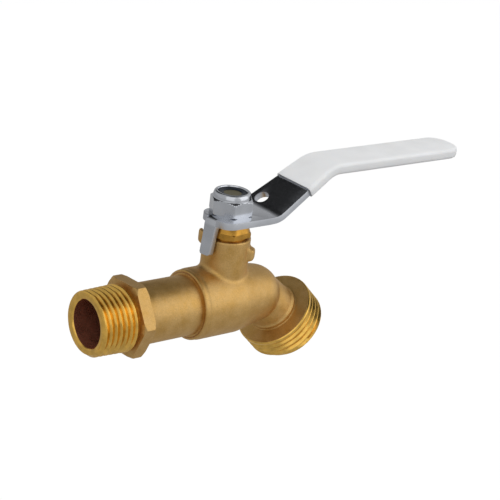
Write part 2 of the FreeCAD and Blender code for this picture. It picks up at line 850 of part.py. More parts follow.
def make_packing_nut():
    body = new_body("packing_nut", g["stem_place"])
    corner_to_flats = 2 * cosine(30)
    flats = g["boss_r"] * corner_to_flats
    wrench = new_sketch(body, "wrench", "XY_Plane", lift=g["boss_top"])
    draw_loop(wrench, hexagon(flats, g["packing_hex_turn"]))
    raised(body, wrench, g["packing_hex_thick"])
    chamfer_r = g["boss_r"] - g["hub_chamfer"]
    hex_chamfer(body, "top_chamfer", "XZ_Plane", "V_Axis", flats, chamfer_r, hub_bottom, 1)
    skirt = new_sketch(body, "skirt", "XY_Plane", lift=packing_top)
    draw_circle(skirt, 0, 0, g["packing_r"])
    raised(body, skirt, g["boss_top"] - packing_top)
    hub = new_sketch(body, "hub", "XZ_Plane")
    draw_loop(hub, [
        corner(0, g["boss_top"]),
        corner(g["hub_r"], g["boss_top"]),
        corner(g["hub_r"], hub_top - g["hub_chamfer"]),
        corner(g["hub_r"] - g["hub_chamfer"], hub_top),
        corner(0, hub_top),
    ])
    turned(body, "Revolution", hub, "V_Axis")
    bore = new_sketch(body, "bore", "XY_Plane")
    draw_circle(bore, 0, 0, stem_hole_r)
    sunk(body, bore)
    return body


# Lever and sleeve: one bent strip each, cut to its outline in plan

slope = angle_of_tangent(g["grip_rise"] / (g["top_place"] - g["foot_place"]))
base_level = lever_bottom + g["lever_thick"] / 2
grip_level = base_level + g["grip_rise"]


def bent_strip(body, half_thick, start):
    """Side view of the strip: flat base, slope and level grip, with concentric bends.

    The strip starts on the flat base, or part way up the slope where start is given."""
    foot, top = g["foot_place"], g["top_place"]
    foot_run = g["foot_bend"] * tangent(slope / 2)
    top_run = g["top_bend"] * tangent(slope / 2)
    across, up = -sine(slope), cosine(slope)

    def beside(x, z, side):
        """A point of the slope moved square to it, above for side 1 and below for side -1."""
        return x + side * half_thick * across, z + side * half_thick * up

    foot_end = (foot + foot_run * cosine(slope), base_level + foot_run * sine(slope))
    top_start = (top - top_run * cosine(slope), grip_level - top_run * sine(slope))
    reach = g["lever_reach"] + g["base_half"]
    grip_bottom = grip_level - half_thick
    grip_top = grip_level + half_thick
    sketch = new_sketch(body, "side_view", "XZ_Plane")
    lower = [arc_right(*beside(*top_start, -1), g["top_bend"] - half_thick)]
    upper = [corner(top + top_run, grip_bottom), corner(reach, grip_bottom), corner(reach, grip_top)]
    upper.append(arc_left(top + top_run, grip_top, g["top_bend"] + half_thick))
    upper.append(corner(*beside(*top_start, 1)))
    if start is None:
        rear = -g["rear_place"] - g["cut_past"]
        lower.insert(0, arc_left(foot - foot_run, base_level - half_thick, g["foot_bend"] + half_thick))
        lower.insert(1, corner(*beside(*foot_end, -1)))
        lower.insert(0, corner(rear, base_level - half_thick))
        upper.append(arc_right(*beside(*foot_end, 1), g["foot_bend"] - half_thick))
        upper.append(corner(foot - foot_run, base_level + half_thick))
        upper.append(corner(rear, base_level + half_thick))
    else:
        begin = (foot + start * cosine(slope), base_level + start * sine(slope))
        lower.insert(0, corner(*beside(*begin, -1)))
        upper.append(corner(*beside(*begin, 1)))
    draw_loop(sketch, lower + upper)
    raised(body, sketch, 4 * g["base_half"], both_ways=True)


def plan_outline(body, grow):
    """Cut the strip to its outline in plan, which is grow wider all round than the steel."""
    rear, side = g["rear_place"], g["rear_start"]
    tip = g["lever_reach"] + grow
    widths = [
        (g["base_end"], g["base_half"] + grow),
        (g["waist_place"], g["waist_half"] + grow),
        (g["grip_place"], g["grip_half"] + grow),
    ]
    grip_half = g["grip_half"] + grow
    tip_round = grip_half - g["tip_flat"]
    base_half = g["base_half"]
    points = [arc_left(-rear, g["rear_corner"] - base_half, g["rear_corner"])]
    points.append(corner(g["rear_corner"] - rear, -base_half))
    points += [corner(x, -half) for x, half in widths]
    points.append(arc_left(tip - tip_round, -grip_half, tip_round))
    points.append(corner(tip, -g["tip_flat"]))
    points.append(arc_left(tip, g["tip_flat"], tip_round))
    points.append(corner(tip - tip_round, grip_half))
    points += [corner(x, half) for x, half in reversed(widths[1:])]
    points.append(corner(g["base_end"], base_half + grow))
    points.append(corner(g["shoulder_place"], base_half + grow))
    points.append(arc_left(g["rear_round"] - rear, side + g["rear_round"], g["rear_round"]))
    points.append(corner(-rear, side))
    over = 4 * g["base_half"]
    sketch = new_sketch(body, "plan_view", "XY_Plane")
    draw_loop(sketch, points)
    draw_loop(sketch, [
        corner(-over, -over),
        corner(tip + over, -over),
        corner(tip + over, over),
        corner(-over, over),
    ])
    sunk(body, sketch)


def double_d(radius, flat):
    """Outline of a round hole with two flats."""
    wide = other_leg(radius, flat)
    return [
        corner(-wide, -flat),
        arc_left(wide, -flat, radius),
        corner(wide, flat),
        arc_left(-wide, flat, radius),
    ]


def lever_tab(body):
    """Stop tab, bent down from the rear edge square to its own direction."""
    lean, inner_bend = g["tab_lean"], g["tab_bend"]
    outer_bend = inner_bend + g["lever_thick"]
    bend_level = lever_bottom - inner_bend
    bend_start = tab_inner_at(bend_level + inner_bend * sine(lean)) - inner_bend * cosine(lean)
    plate_inside = g["stem_r"] + g["lever_thick"] / 2
    end_inner = tab_inner_at(tab_bottom)
    end_outer = end_inner + g["lever_thick"] / cosine(lean)
    half = g["tab_half"]
    notch = new_sketch(body, "tab_notch", "XY_Plane", turn=tab_azimuth)
    over = end_outer + g["cut_past"]
    draw_loop(notch, [
        corner(bend_start, -half),
        corner(over, -half),
        corner(over, half),
        corner(bend_start, half),
    ])
    sunk(body, notch)
    upright = Vector(0, 1, 0)
    side = new_sketch(body, "tab_side", "XZ_Plane", turn=tab_azimuth, turn_axis=upright)
    draw_loop(side, [
        corner(plate_inside, lever_top),
        arc_right(bend_start, lever_top, outer_bend),
        corner(bend_start + outer_bend * cosine(lean), bend_level + outer_bend * sine(lean)),
        corner(end_outer, tab_bottom),
        corner(end_inner, tab_bottom),
        arc_left(bend_start + inner_bend * cosine(lean), bend_level + inner_bend * sine(lean), inner_bend),
        corner(bend_start, lever_bottom),
        corner(plate_inside, lever_bottom),
    ])
    raised(body, side, 2 * half, both_ways=True)
    taper = new_sketch(body, "tab_taper", "YZ_Plane", turn=tab_azimuth, turn_axis=upright)
    low = tab_bottom - g["cut_past"]
    for hand in (-1, 1):
        end_half = hand * g["tab_end_half"]
        wide = hand * (half + g["cut_past"])
        draw_loop(taper, [
            corner(hand * half, lever_bottom),
            corner(hand * g["tab_waist_half"], tab_waist),
            corner(end_half, tab_bottom + g["tab_corner"]),
            corner(end_half - hand * g["tab_corner"], tab_bottom),
            corner(end_half - hand * g["tab_corner"], low),
            corner(wide, low),
            corner(wide, lever_bottom),
        ])
    sunk(body, taper)


def make_lever():
    body = new_body("handle_lever", g["stem_place"])
    bent_strip(body, g["lever_thick"] / 2, None)
    plan_outline(body, as_size(0))
    lever_tab(body)
    hole = new_sketch(body, "stem_hole", "XY_Plane")
    draw_loop(hole, double_d(g["thread_r"] + g["flats_play"], (g["stem_flats"] + g["flats_play"]) / 2))
    sunk(body, hole)
    along = g["oval_hole_along"]
    place = g["foot_place"] + along * cosine(slope)
    level = base_level + along * sine(slope)
    lean = new_sketch(body, "oval_hole", "XY_Plane", x=place, y=g["oval_hole_aside"],
                      lift=level, turn=-slope, turn_axis=Vector(0, 1, 0))
    draw_circle(lean, 0, 0, g["oval_hole_r"])
    sunk(body, lean)
    return body


def make_sleeve():
    """Sleeve: the grown strip, with the lever's own strip cut out of it."""
    skin = new_body("sleeve_skin", g["stem_place"])
    bent_strip(skin, g["lever_thick"] / 2 + g["sleeve_wall"], g["sleeve_start"])
    plan_outline(skin, g["sleeve_wall"])
    core = new_body("sleeve_core", g["stem_place"])
    bent_strip(core, g["lever_thick"] / 2, None)
    plan_outline(core, as_size(0))
    sleeve = doc.addObject("Part::Cut", "handle_sleeve")
    sleeve.Label = "handle_sleeve"
    sleeve.Base = skin
    sleeve.Tool = core
    return sleeve


# Lock nut and its insert

nut_shoulder = lever_top + g["nut_hex_tall"]
nut_top = nut_shoulder + g["nut_collar_tall"]
insert_top = nut_top - g["insert_depth"]
insert_bottom = insert_top - g["insert_thick"]
nut_bore_r = g["thread_r"] + g["running_gap"]


def make_lock_nut():
    body = new_body("handle_nut", g["stem_place"])
    wrench = new_sketch(body, "wrench", "XY_Plane", lift=lever_top)
    draw_loop(wrench, hexagon(g["nut_flats"], g["nut_turn"]))
    raised(body, wrench, g["nut_hex_tall"])
    flats, chamfer_r = g["nut_flats"], g["nut_chamfer_r"]
    hex_chamfer(body, "top_chamfer", "XZ_Plane", "V_Axis", flats, chamfer_r, nut_shoulder, 1)
    collar = new_sketch(body, "collar", "XZ_Plane")
    neck_r = g["nut_collar_r"] - g["nut_collar_lean"]
    draw_loop(collar, [
        corner(0, nut_shoulder - g["fixed_gap"]),
        corner(g["nut_collar_r"], nut_shoulder - g["fixed_gap"]),
        arc_left(neck_r, nut_top - g["nut_collar_round"], g["nut_collar_round"]),
        corner(neck_r - g["nut_collar_round"], nut_top),
        corner(0, nut_top),
    ])
    turned(body, "Revolution", collar, "V_Axis")
    bore = new_sketch(body, "bore", "XZ_Plane")
    over = nut_top + g["cut_past"]
    draw_loop(bore, [
        corner(0, lever_top),
        corner(nut_bore_r, lever_top),
        corner(nut_bore_r, insert_bottom),
        corner(g["insert_r"], insert_bottom),
        corner(g["insert_r"], insert_top),
        corner(g["nut_mouth_r"], insert_top),
        corner(g["nut_mouth_r"], over),
        corner(0, over),
    ])
    turned(body, "Groove", bore, "V_Axis")
    return body


def write_parts(pieces):
    """Check every object, then write each piece to its own file."""
    doc.recompute()
    for item in doc.Objects:
        if "Invalid" in item.State or "Error" in item.State:
            raise RuntimeError("%s failed: %s" % (item.Label, item.State))
    for piece in pieces:
        shape = piece.Shape
        if shape.isNull() or not shape.isValid() or len(shape.Solids) != 1:
            raise RuntimeError("%s is not one valid solid" % piece.Label)
    os.makedirs("parts", exist_ok=True)
    for piece in pieces:
        piece.Shape.exportStep("parts/%s.step" % piece.Label)
        print("%-20s %10.1f mm3" % (piece.Label, piece.Shape.Volume))


washer_r = g["collar_r"] + g["running_gap"]
packing_hole_r = g["stem_r"] + 2 * g["fixed_gap"]
insert_hole_r = g["thread_r"] + g["fixed_gap"]

write_parts([
    make_valve_body(),
    make_inlet_adapter(),
    make_packing_nut(),
    make_stem(),
    make_lever(),
    make_sleeve(),
    make_lock_nut(),
    make_ring("nut_nylon_insert", insert_hole_r, g["insert_r"], insert_bottom, insert_top),
    make_ball(),
    make_seat("inlet_seat", 0, cavity_r),
    make_seat("outlet_seat", 180, g["outlet_pocket_r"]),
    make_ring("stem_thrust_washer", stem_hole_r, washer_r, collar_top, washer_top),
    make_o_ring(),
    make_ring("lower_packing_ring", packing_hole_r, g["packing_r"], chamber_floor, packing_middle),
    make_ring("upper_packing_ring", packing_hole_r, g["packing_r"], packing_middle, packing_top),
])
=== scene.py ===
import math

import bmesh
import bpy
from bpy.props import FloatProperty, PointerProperty, StringProperty
from mathutils import Matrix, Vector, noise


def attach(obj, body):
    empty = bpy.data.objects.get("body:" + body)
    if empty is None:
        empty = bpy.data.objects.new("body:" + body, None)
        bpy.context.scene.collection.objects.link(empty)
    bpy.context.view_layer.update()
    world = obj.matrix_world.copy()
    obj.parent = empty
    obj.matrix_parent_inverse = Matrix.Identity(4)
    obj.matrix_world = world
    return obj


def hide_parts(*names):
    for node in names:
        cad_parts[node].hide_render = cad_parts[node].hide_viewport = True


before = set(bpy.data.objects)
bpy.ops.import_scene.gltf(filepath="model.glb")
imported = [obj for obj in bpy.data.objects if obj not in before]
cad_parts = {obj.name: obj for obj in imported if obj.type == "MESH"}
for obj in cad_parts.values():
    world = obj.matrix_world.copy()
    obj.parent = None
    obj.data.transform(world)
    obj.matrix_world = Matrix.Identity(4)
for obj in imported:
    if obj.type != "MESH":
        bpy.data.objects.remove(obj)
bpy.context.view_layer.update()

bl_info = {
    "name": "Hose Bibb",
    "version": (1, 0, 0),
    "blender": (4, 5, 0),
    "location": "3D View > Sidebar > Hose Bibb",
    "description": "Quarter-turn hose bibb with cut threads, blasted brass, plated lever and vinyl sleeve",
    "category": "Add Mesh",
}

# Every length in the modelling functions is in millimetres.
MM = 0.001
ROUND = 120  # steps of a turned piece
HEX_ROUND = 180  # steps of a turned piece that gets a hexagon
CREST_FLAT = 0.28  # width of the flat crest of both threads
END_GAP = 0.012  # from an end face back to the cut end of its thread's ridge

# Places along the pipe, from the inlet face.
STEM_X = 51.2
ELBOW_X = 67.2

# Places up the stem, from the pipe's axis.
BOSS_TOP = 22.0
PACKING_HEX_TOP = 24.4
PACKING_TOP = 27.2
LEVER_BOTTOM = 27.57
LEVER_THICK = 2.2
LEVER_TOP = LEVER_BOTTOM + LEVER_THICK
NUT_SHOULDER = 35.0
NUT_TOP = 37.0

# Places along the spout, from the elbow's centre.
SPOUT_BACK = 11.2  # back of the hose thread
SPOUT_END = 21.55


# Sizes, finishes and light that a user would change

def size_property(name, what, default, low, high):
    """Property that holds a length in millimetres."""
    return FloatProperty(
        name=name, description=what + ", in millimetres", default=default, min=low, max=high)


class HoseBibbSizes(bpy.types.PropertyGroup):
    pipe_pitch: size_property("Pipe Thread Pitch", "Pitch of the inlet's tapered thread", 1.814, 0.5, 4)
    hose_pitch: size_property("Hose Thread Pitch", "Pitch of the outlet's hose thread", 2.209, 0.5, 4)
    edge_round: size_property("Steel Edge Rounding", "Rounding of the lever's edges", 0.35, 0.05, 0.9)
    sleeve_wall: size_property("Sleeve Wall", "Thickness of the vinyl over the lever", 0.78, 0.3, 0.8)
    forging_grain: size_property("Forging Grain", "Voxels that soften the forged body", 0.32, 0.2, 0.8)


def colour_property(name, coloured, default):
    """Property that holds the sRGB hex colour of what it names."""
    return StringProperty(name=name, description="sRGB hex colour of " + coloured, default=default)


class HoseBibbFinish(bpy.types.PropertyGroup):
    blasted_brass: colour_property("Blasted Brass", "the blasted forging", "#D9B374")
    warm_brass: colour_property("Warm Brass", "the forging's warmer clouds", "#CDA35E")
    turned_brass: colour_property("Turned Brass", "the machined threads and faces", "#FFCC66")
    # Painted shade: the packing nut's brass is a darker copy of the turned brass, standing in for the shade
    # it sits in under the lever.
    shaded_gland_brass: colour_property("Gland Brass", "the packing nut", "#D9A247")
    stem_brass: colour_property("Stem Brass", "the stem", "#8E8668")
    # Painted shade: the bore's darker, redder brass stands in for the shade and reddish inter-reflection down
    # the waterway, on drilled brass.
    shaded_bore_brass: colour_property("Bore Brass", "the drilled waterway", "#BC7A60")
    plated_steel: colour_property("Plated Steel", "the bright plating", "#CED1D7")
    white_vinyl: colour_property("White Vinyl", "the dipped sleeve", "#F5F6F7")
    dark_nylon: colour_property("Dark Nylon", "the nut's ring", "#161E29")
    white_ptfe: colour_property("White PTFE", "the seats and packing", "#ECECE8")
    black_rubber: colour_property("Black Rubber", "the stem's O-ring", "#141414")


class HoseBibbStage(bpy.types.PropertyGroup):
    lens: FloatProperty(
        name="Lens", description="Focal length of the camera, in millimetres", default=108.4, min=20, max=400)
    key_power: FloatProperty(
        name="Key Light", description="Power of the large soft light", default=1.9, min=0, subtype="POWER")
    fill_power: FloatProperty(
        name="Fill Light", description="Power of the smaller soft light", default=1.1, min=0, subtype="POWER")
    world_level: FloatProperty(
        name="Room Level", description="Strength of the light from the white room", default=0.75, min=0)
    floor_drop: FloatProperty(
        name="Floor Drop", description="Height of the pipe's axis above the floor",
        default=0.12, min=0.02, unit="LENGTH")


# Mesh helpers

def lathe(profile, steps=ROUND):
    """Spin a closed outline of (radius, height) points about +Z."""
    mesh = bmesh.new()
    corners = [mesh.verts.new((radius, 0, height)) for radius, height in profile]
    for pair in zip(corners, corners[1:] + corners[:1]):
        mesh.edges.new(pair)
    bmesh.ops.spin(
        mesh, geom=mesh.verts[:] + mesh.edges[:], cent=(0, 0, 0), axis=(0, 0, 1),
        angle=math.tau, steps=steps, use_merge=True)
    bmesh.ops.remove_doubles(mesh, verts=mesh.verts, dist=1e-4)
    bmesh.ops.dissolve_degenerate(mesh, edges=mesh.edges, dist=1e-5)
    bmesh.ops.recalc_face_normals(mesh, faces=mesh.faces)
    return mesh


def soften(mesh, width, segments=3, least=32, keep=None, clamp=True):
    """Round the edges that turn by more than the least angle, in degrees."""
    sharp = [
        edge for edge in mesh.edges
        if len(edge.link_faces) == 2 and edge.calc_face_angle(0) > math.radians(least)
        and (keep is None or keep(edge))]
    bmesh.ops.bevel(
        mesh, geom=sharp, offset=width, offset_type="OFFSET", segments=segments, profile=0.5,
        affect="EDGES", clamp_overlap=clamp, material=-1)


def to_hexagon(mesh, flats, low, high, cones):
    """Press the round wall between two heights to a hexagon whose corners the cones turn off.

    One corner points along +X. A cone is (radius, height, way): its radius grows from there
    by 1.732 for each millimetre."""
    crisp = 120  # power that blends neighbouring flats and takes under 0.1 mm off each corner
    inside = flats * 0.42  # what lies nearer to the axis is no part of the wall
    for corner in mesh.verts:
        radius = math.hypot(corner.co.x, corner.co.y)
        if radius < inside or not low - 1e-3 <= corner.co.z <= high + 1e-3:
            continue
        angle = math.atan2(corner.co.y, corner.co.x) - math.radians(30)
        leans = [max(math.cos(angle - math.radians(60 * side)), 0) for side in range(6)]
        reach = flats / 2 / sum(lean ** crisp for lean in leans) ** (1 / crisp)
        for cone_r, face, way in cones:
            reach = min(reach, cone_r + max(way * (corner.co.z - face), 0) * math.sqrt(3))
        corner.co.x *= reach / radius
        corner.co.y *= reach / radius


def hex_rows(low, high, count):
    """Heights of a hexagon's wall, close together near both faces where its corners are turned off."""
    near = [0.0, 0.12, 0.26, 0.42, 0.6, 0.8]
    plain = high - low - 2 * near[-1]
    middle = [low + near[-1] + plain * step / count for step in range(1, count)]
    return [low + step for step in near] + middle + [high - step for step in reversed(near)]


def thread_ridge(pitch, first, last, crest_r, depth, fade_out, taper=0.0):
    """Sweep one V-shaped ridge in a right-hand helix about +Z.

    It fades into its root at its last end, over fade_out of a turn."""
    steps = 72  # of one turn
    sunk = 0.05  # from the root down to the foot of the ridge, so that no slit shows
    soft = 0.06  # rounding of the crest's edges
    flank = math.tan(math.radians(30))
    half = CREST_FLAT / 2
    wide = half + (depth + sunk) * flank
    foot_r = crest_r - depth - sunk
    section = [
        (foot_r, -wide), (crest_r - soft, -half - soft * flank), (crest_r, -half + soft),
        (crest_r, half - soft), (crest_r - soft, half + soft * flank), (foot_r, wide)]
    mesh = bmesh.new()
    corners = [mesh.verts.new((radius, 0, first + height)) for radius, height in section]
    for pair in zip(corners, corners[1:] + corners[:1]):
        mesh.edges.new(pair)
    turns = (last - first) / pitch
    count = round(turns * steps)
    bmesh.ops.spin(
        mesh, geom=mesh.verts[:] + mesh.edges[:], cent=(0, 0, 0), axis=(0, 0, 1),
        dvec=(0, 0, (last - first) / count), angle=math.tau * turns, steps=count, use_merge=False)
    bmesh.ops.holes_fill(
        mesh, edges=[edge for edge in mesh.edges if edge.is_boundary], sides=len(section))
    for corner in mesh.verts:
        radius = math.hypot(corner.co.x, corner.co.y)
        climb = math.atan2(corner.co.y, corner.co.x) / math.tau * pitch
        centre = first + climb + round((corner.co.z - first - climb) / pitch) * pitch
        left = max(last - centre, 0) / (fade_out * pitch)
        rise = math.sin(min(left, 1.0) * math.pi / 2)
        grown = foot_r + (radius - foot_r) * rise + taper * corner.co.z
        corner.co.x *= grown / radius
        corner.co.y *= grown / radius
    bmesh.ops.recalc_face_normals(mesh, faces=mesh.faces)
    return mesh


def chamfer_start(ridge, reach_at):
    """Turn a ridge down where it stands proud of the chamfer, whose radius depends on the height."""
    for corner in ridge.verts:
        radius = corner.co.xy.length
        corner.co.xy *= min(radius, reach_at(corner.co.z)) / radius


def slice_off(mesh, place, outwards):
    """Cut away what lies beyond a plane and close the cut, but not a bore inside it."""
    cut = bmesh.ops.bisect_plane(
        mesh, geom=mesh.verts[:] + mesh.edges[:] + mesh.faces[:], dist=1e-5, plane_co=place,
        plane_no=outwards, clear_outer=True)
    rim = [item for item in cut["geom_cut"] if isinstance(item, bmesh.types.BMEdge)]
    bmesh.ops.triangle_fill(mesh, use_beauty=True, use_dissolve=False, edges=rim)
    bmesh.ops.recalc_face_normals(mesh, faces=mesh.faces)


def score(mesh, place, across):
    """Add the edges where a plane meets the mesh."""
    bmesh.ops.bisect_plane(
        mesh, geom=mesh.verts[:] + mesh.edges[:] + mesh.faces[:], dist=1e-4,
        plane_co=place, plane_no=across)


def place_along(origin, direction):
    """Matrix that lays a piece modelled about +Z along a direction, from a point in millimetres."""
    turn = Vector(direction).to_track_quat("Z", "Y").to_matrix().to_4x4()
    return Matrix.Translation(Vector(origin)) @ turn


def turned_by(degrees):
    """Matrix that turns a piece about +Z."""
    return Matrix.Rotation(math.radians(degrees), 4, "Z")


PIPE_AXIS = (1.0, 0.0, 0.0)
SPOUT_AXIS = (0.70710678, 0.0, -0.70710678)
STEM_AXIS = (0.0, 0.0, 1.0)
PIPE = place_along((0, 0, 0), (1, 0, 0))
STEM = Matrix.Translation(Vector((STEM_X, 0, 0)))
SPOUT = place_along((ELBOW_X, 0, 0), (1, 0, -1))


def join_meshes(parts):
    """Put several bmeshes, each with its matrix and material number, into one."""
    whole = bmesh.new()
    for mesh, matrix, number in parts:
        bmesh.ops.transform(mesh, matrix=matrix, verts=mesh.verts)
        if number is not None:
            for face in mesh.faces:
                face.material_index = number
        loose = bpy.data.meshes.new("loose")
        mesh.to_mesh(loose)
        whole.from_mesh(loose)
        bpy.data.meshes.remove(loose)
        mesh.free()
    return whole


def finish_piece(name, parts, materials, body, replaced, smooth_angle=32):
    """Turn bmeshes in millimetres into one piece of the object that rides on its body."""
    mesh = join_meshes(parts)
    bmesh.ops.scale(mesh, vec=(MM, MM, MM), verts=mesh.verts)
    data = bpy.data.meshes.new(name)
    mesh.to_mesh(data)
    mesh.free()
    for material in materials:
        data.materials.append(material)
    data.shade_smooth()
    data.set_sharp_from_angle(angle=math.radians(smooth_angle))
    piece = bpy.data.objects.new(name, data)
    bpy.context.scene.collection.objects.link(piece)
    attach(piece, body)
    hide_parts(*replaced)


# Colours and nodes

def linear(text):
    """sRGB hex colour to the linear colour that a shader takes."""
    parts = [int(text[place:place + 2], 16) / 255 for place in (1, 3, 5)]
    return [part / 12.92 if part <= 0.04045 else ((part + 0.055) / 1.055) ** 2.4 for part in parts] + [1.0]


def shade(text, factor):
    """The same sRGB hex colour, darker or lighter."""
    parts = [min(int(int(text[place:place + 2], 16) * factor), 255) for place in (1, 3, 5)]
    return "#%02X%02X%02X" % tuple(parts)


def lumps(size_mm, detail, roughness=0.5):
    """Settings of a noise whose lumps are about size_mm across."""
    return {"Scale": 1 / (size_mm * MM), "Detail": detail, "Roughness": roughness}


def span(low, high, to_low=0.0, to_high=1.0):
    """Settings of a Map Range that takes low to to_low and high to to_high."""
    return {1: low, 2: high, 3: to_low, 4: to_high}


def add_node(tree, kind, settings=None, links=None):
    """Add a shader node, set its properties or sockets, and link its inputs to sockets or nodes."""
    node = tree.nodes.new("ShaderNode" + kind)
    for key, value in (settings or {}).items():
        if isinstance(key, int) or key in node.inputs:
            node.inputs[key].default_value = value
        else:
            setattr(node, key, value)
    for key, source in (links or {}).items():
        if isinstance(source, bpy.types.Node):
            source = source.outputs[0]
        tree.links.new(source, node.inputs[key])
    return node


def new_material(name):
    """An empty material, its node tree and the socket that gives places on the object."""
    material = bpy.data.materials.new(name)
    material.use_nodes = True
    tree = material.node_tree
    tree.nodes.clear()
    return material, tree, add_node(tree, "TexCoord").outputs["Object"]


def material_once(maker, name, *values):
    """The named material, made when it is first asked for."""
    return bpy.data.materials.get(name) or maker(name, *values)


def mottled(tree, pattern, low, high, dark, light):
    """Colour that goes from a dark to a light sRGB value as a pattern goes from low to high."""
    cover = add_node(tree, "MapRange", span(low, high), {0: pattern})
    return add_node(
        tree, "Mix", {"data_type": "RGBA", 6: linear(dark), 7: linear(light)},
        {0: cover}).outputs[2]


def waved_bump(tree, coarse, coarse_strength, fine, fine_strength, fine_depth):
    """Normal of a surface with slow waves under a fine texture."""
    waves = add_node(
        tree, "Bump", {"Strength": coarse_strength, "Distance": 0.0006}, {"Height": coarse})
    return add_node(
        tree, "Bump", {"Strength": fine_strength, "Distance": fine_depth},
        {"Height": fine, "Normal": waves})


def coated(material, settings, tint, gloss, bump):
    """The material with a surface of this colour, roughness and normal."""
    tree = material.node_tree
    shader = add_node(
        tree, "BsdfPrincipled", settings, {"Base Color": tint, "Roughness": gloss, "Normal": bump})
    add_node(tree, "OutputMaterial", {}, {"Surface": shader})
    return material


# Materials

def blasted_brass(name, colour, warm):
    """Forged brass, shot-blasted: a matte skin of tiny dents that spreads each highlight wide."""
    material, tree, place = new_material(name)
    # The blasting is uneven over a few millimetres. Its dents of 0.1 mm are drawn coarser so that they show.
    clouds = add_node(tree, "TexNoise", lumps(3.5, 3.0, 0.55), {"Vector": place})
    dents = add_node(tree, "TexNoise", lumps(0.35, 3.0, 0.6), {"Vector": place})
    tint = mottled(tree, clouds, 0.32, 0.66, warm, colour)
    # The colour follows the dents too, darker where they sink and lighter on their rims: painted shade in the
    # dents' hollows, laid over the blasting's uneven tone.
    dent_shade = add_node(tree, "MapRange", span(0.3, 0.7, 0.84, 1.08), {0: dents})
    dent_shaded_tint = add_node(tree, "VectorMath", {"operation": "SCALE"}, {0: tint, "Scale": dent_shade})
    rough = add_node(tree, "MapRange", span(0.3, 0.7, 0.42, 0.52), {0: clouds})
    bump = add_node(tree, "Bump", {"Strength": 0.30, "Distance": 0.00012}, {"Height": dents})
    return coated(material, {"Metallic": 1.0}, dent_shaded_tint, rough, bump)


def turned_brass(name, colour, axis, lines_mm=0.22, rough=0.19, metal=1.0):
    """Machined brass: bright, with fine tool lines across its axis, and less metallic where it is dull."""
    material, tree, place = new_material(name)
    along = add_node(
        tree, "VectorMath", {"operation": "DOT_PRODUCT", 1: axis}, {0: place}).outputs["Value"]
    phase = add_node(
        tree, "Math", {"operation": "MULTIPLY", 1: math.tau / (lines_mm * MM)}, {0: along})
    lines = add_node(tree, "Math", {"operation": "SINE"}, {0: phase})
    clouds = add_node(tree, "TexNoise", lumps(3.0, 3.0, 0.6), {"Vector": place})
    tint = mottled(tree, clouds, 0.35, 0.68, shade(colour, 0.86), colour)
    gloss = add_node(tree, "MapRange", span(0.3, 0.7, rough - 0.04, rough + 0.08), {0: clouds})
    height = add_node(
        tree, "Math", {"operation": "MULTIPLY_ADD", 1: 0.35}, {0: lines, 2: clouds})
    bump = add_node(tree, "Bump", {"Strength": 0.12, "Distance": 0.00006}, {"Height": height})
    return coated(material, {"Metallic": metal}, tint, gloss, bump)


def plated_steel(name, colour, rough):
    """Stamped steel with bright plating: a mirror that is slightly uneven where the sheet is."""
    material, tree, place = new_material(name)
    waves = add_node(tree, "TexNoise", lumps(6.0, 1.0, 0.4), {"Vector": place})
    pits = add_node(tree, "TexNoise", lumps(0.5, 3.0, 0.65), {"Vector": place})
    tint = mottled(tree, waves, 0.3, 0.7, shade(colour, 0.95), shade(colour, 1.02))
    gloss = add_node(tree, "MapRange", span(0.35, 0.75, rough - 0.03, rough + 0.09), {0: pits})
    bump = waved_bump(tree, waves, 0.12, pits, 0.08, 0.00006)
    return coated(material, {"Metallic": 1.0}, tint, gloss, bump)


def white_vinyl(name, colour):
    """Dipped PVC: milky, a little translucent, with a soft satin skin and faint sags from dipping."""
    material, tree, place = new_material(name)
    sags = add_node(tree, "TexNoise", lumps(9.0, 2.0), {"Vector": place})
    skin = add_node(tree, "TexNoise", lumps(0.6, 3.0, 0.55), {"Vector": place})
    tint = mottled(tree, sags, 0.35, 0.65, shade(colour, 0.98), colour)
    gloss = add_node(tree, "MapRange", span(0.3, 0.7, 0.36, 0.46), {0: skin})
    bump = waved_bump(tree, sags, 0.15, skin, 0.12, 0.0001)
    milk = {"IOR": 1.53, "Subsurface Weight": 0.25, "Subsurface Scale": 1.0,
            "Subsurface Radius": (0.0012, 0.0011, 0.001)}
    return coated(material, milk, tint, gloss, bump)


def moulded(name, colour, rough, shine=0.5):
    """Moulded polymer or rubber: one body colour with faint mottling and a fine mould texture."""
    material, tree, place = new_material(name)
    mottle = add_node(tree, "TexNoise", lumps(2.0, 2.0), {"Vector": place})
    fine = add_node(tree, "TexNoise", lumps(0.5, 3.0), {"Vector": place})
    tint = mottled(tree, mottle, 0.3, 0.7, shade(colour, 0.9), shade(colour, 1.06))
    gloss = add_node(tree, "MapRange", span(0.3, 0.7, rough - 0.06, rough + 0.06), {0: fine})
    bump = add_node(tree, "Bump", {"Strength": 0.2, "Distance": 0.00008}, {"Height": fine})
    return coated(material, {"IOR": 1.5, "Specular IOR Level": shine}, tint, gloss, bump)


def body_brasses(finish, spot, axis):
    """Blasted skin, turned thread and drilled bore of a brass body, in that order."""
    return [
        material_once(blasted_brass, "blasted_brass", finish.blasted_brass, finish.warm_brass),
        material_once(turned_brass, "turned_brass_" + spot, finish.turned_brass, axis),
        # The bore is drilled brass whose darker, redder colour is painted shade and reddish reflection inside
        # the waterway.
        material_once(turned_brass, "drilled_brass", finish.shaded_bore_brass, PIPE_AXIS, 0.5, 0.26, 0.75)]


# Stage, in metres

CAMERA_PLACE = (-0.2383, -0.34175, 0.18969)
CAMERA_RIGHT = (0.77622, -0.61845, 0.12251)
CAMERA_UP = (0.13555, 0.35348, 0.92556)
LIGHT_AIM = (0.06, 0.0, 0.01)
KEY_PLACE = (0.60, -0.62, 0.42)
KEY_SIZE = 1.0
FILL_PLACE = (-0.55, -0.55, 0.40)
FILL_SIZE = 0.90

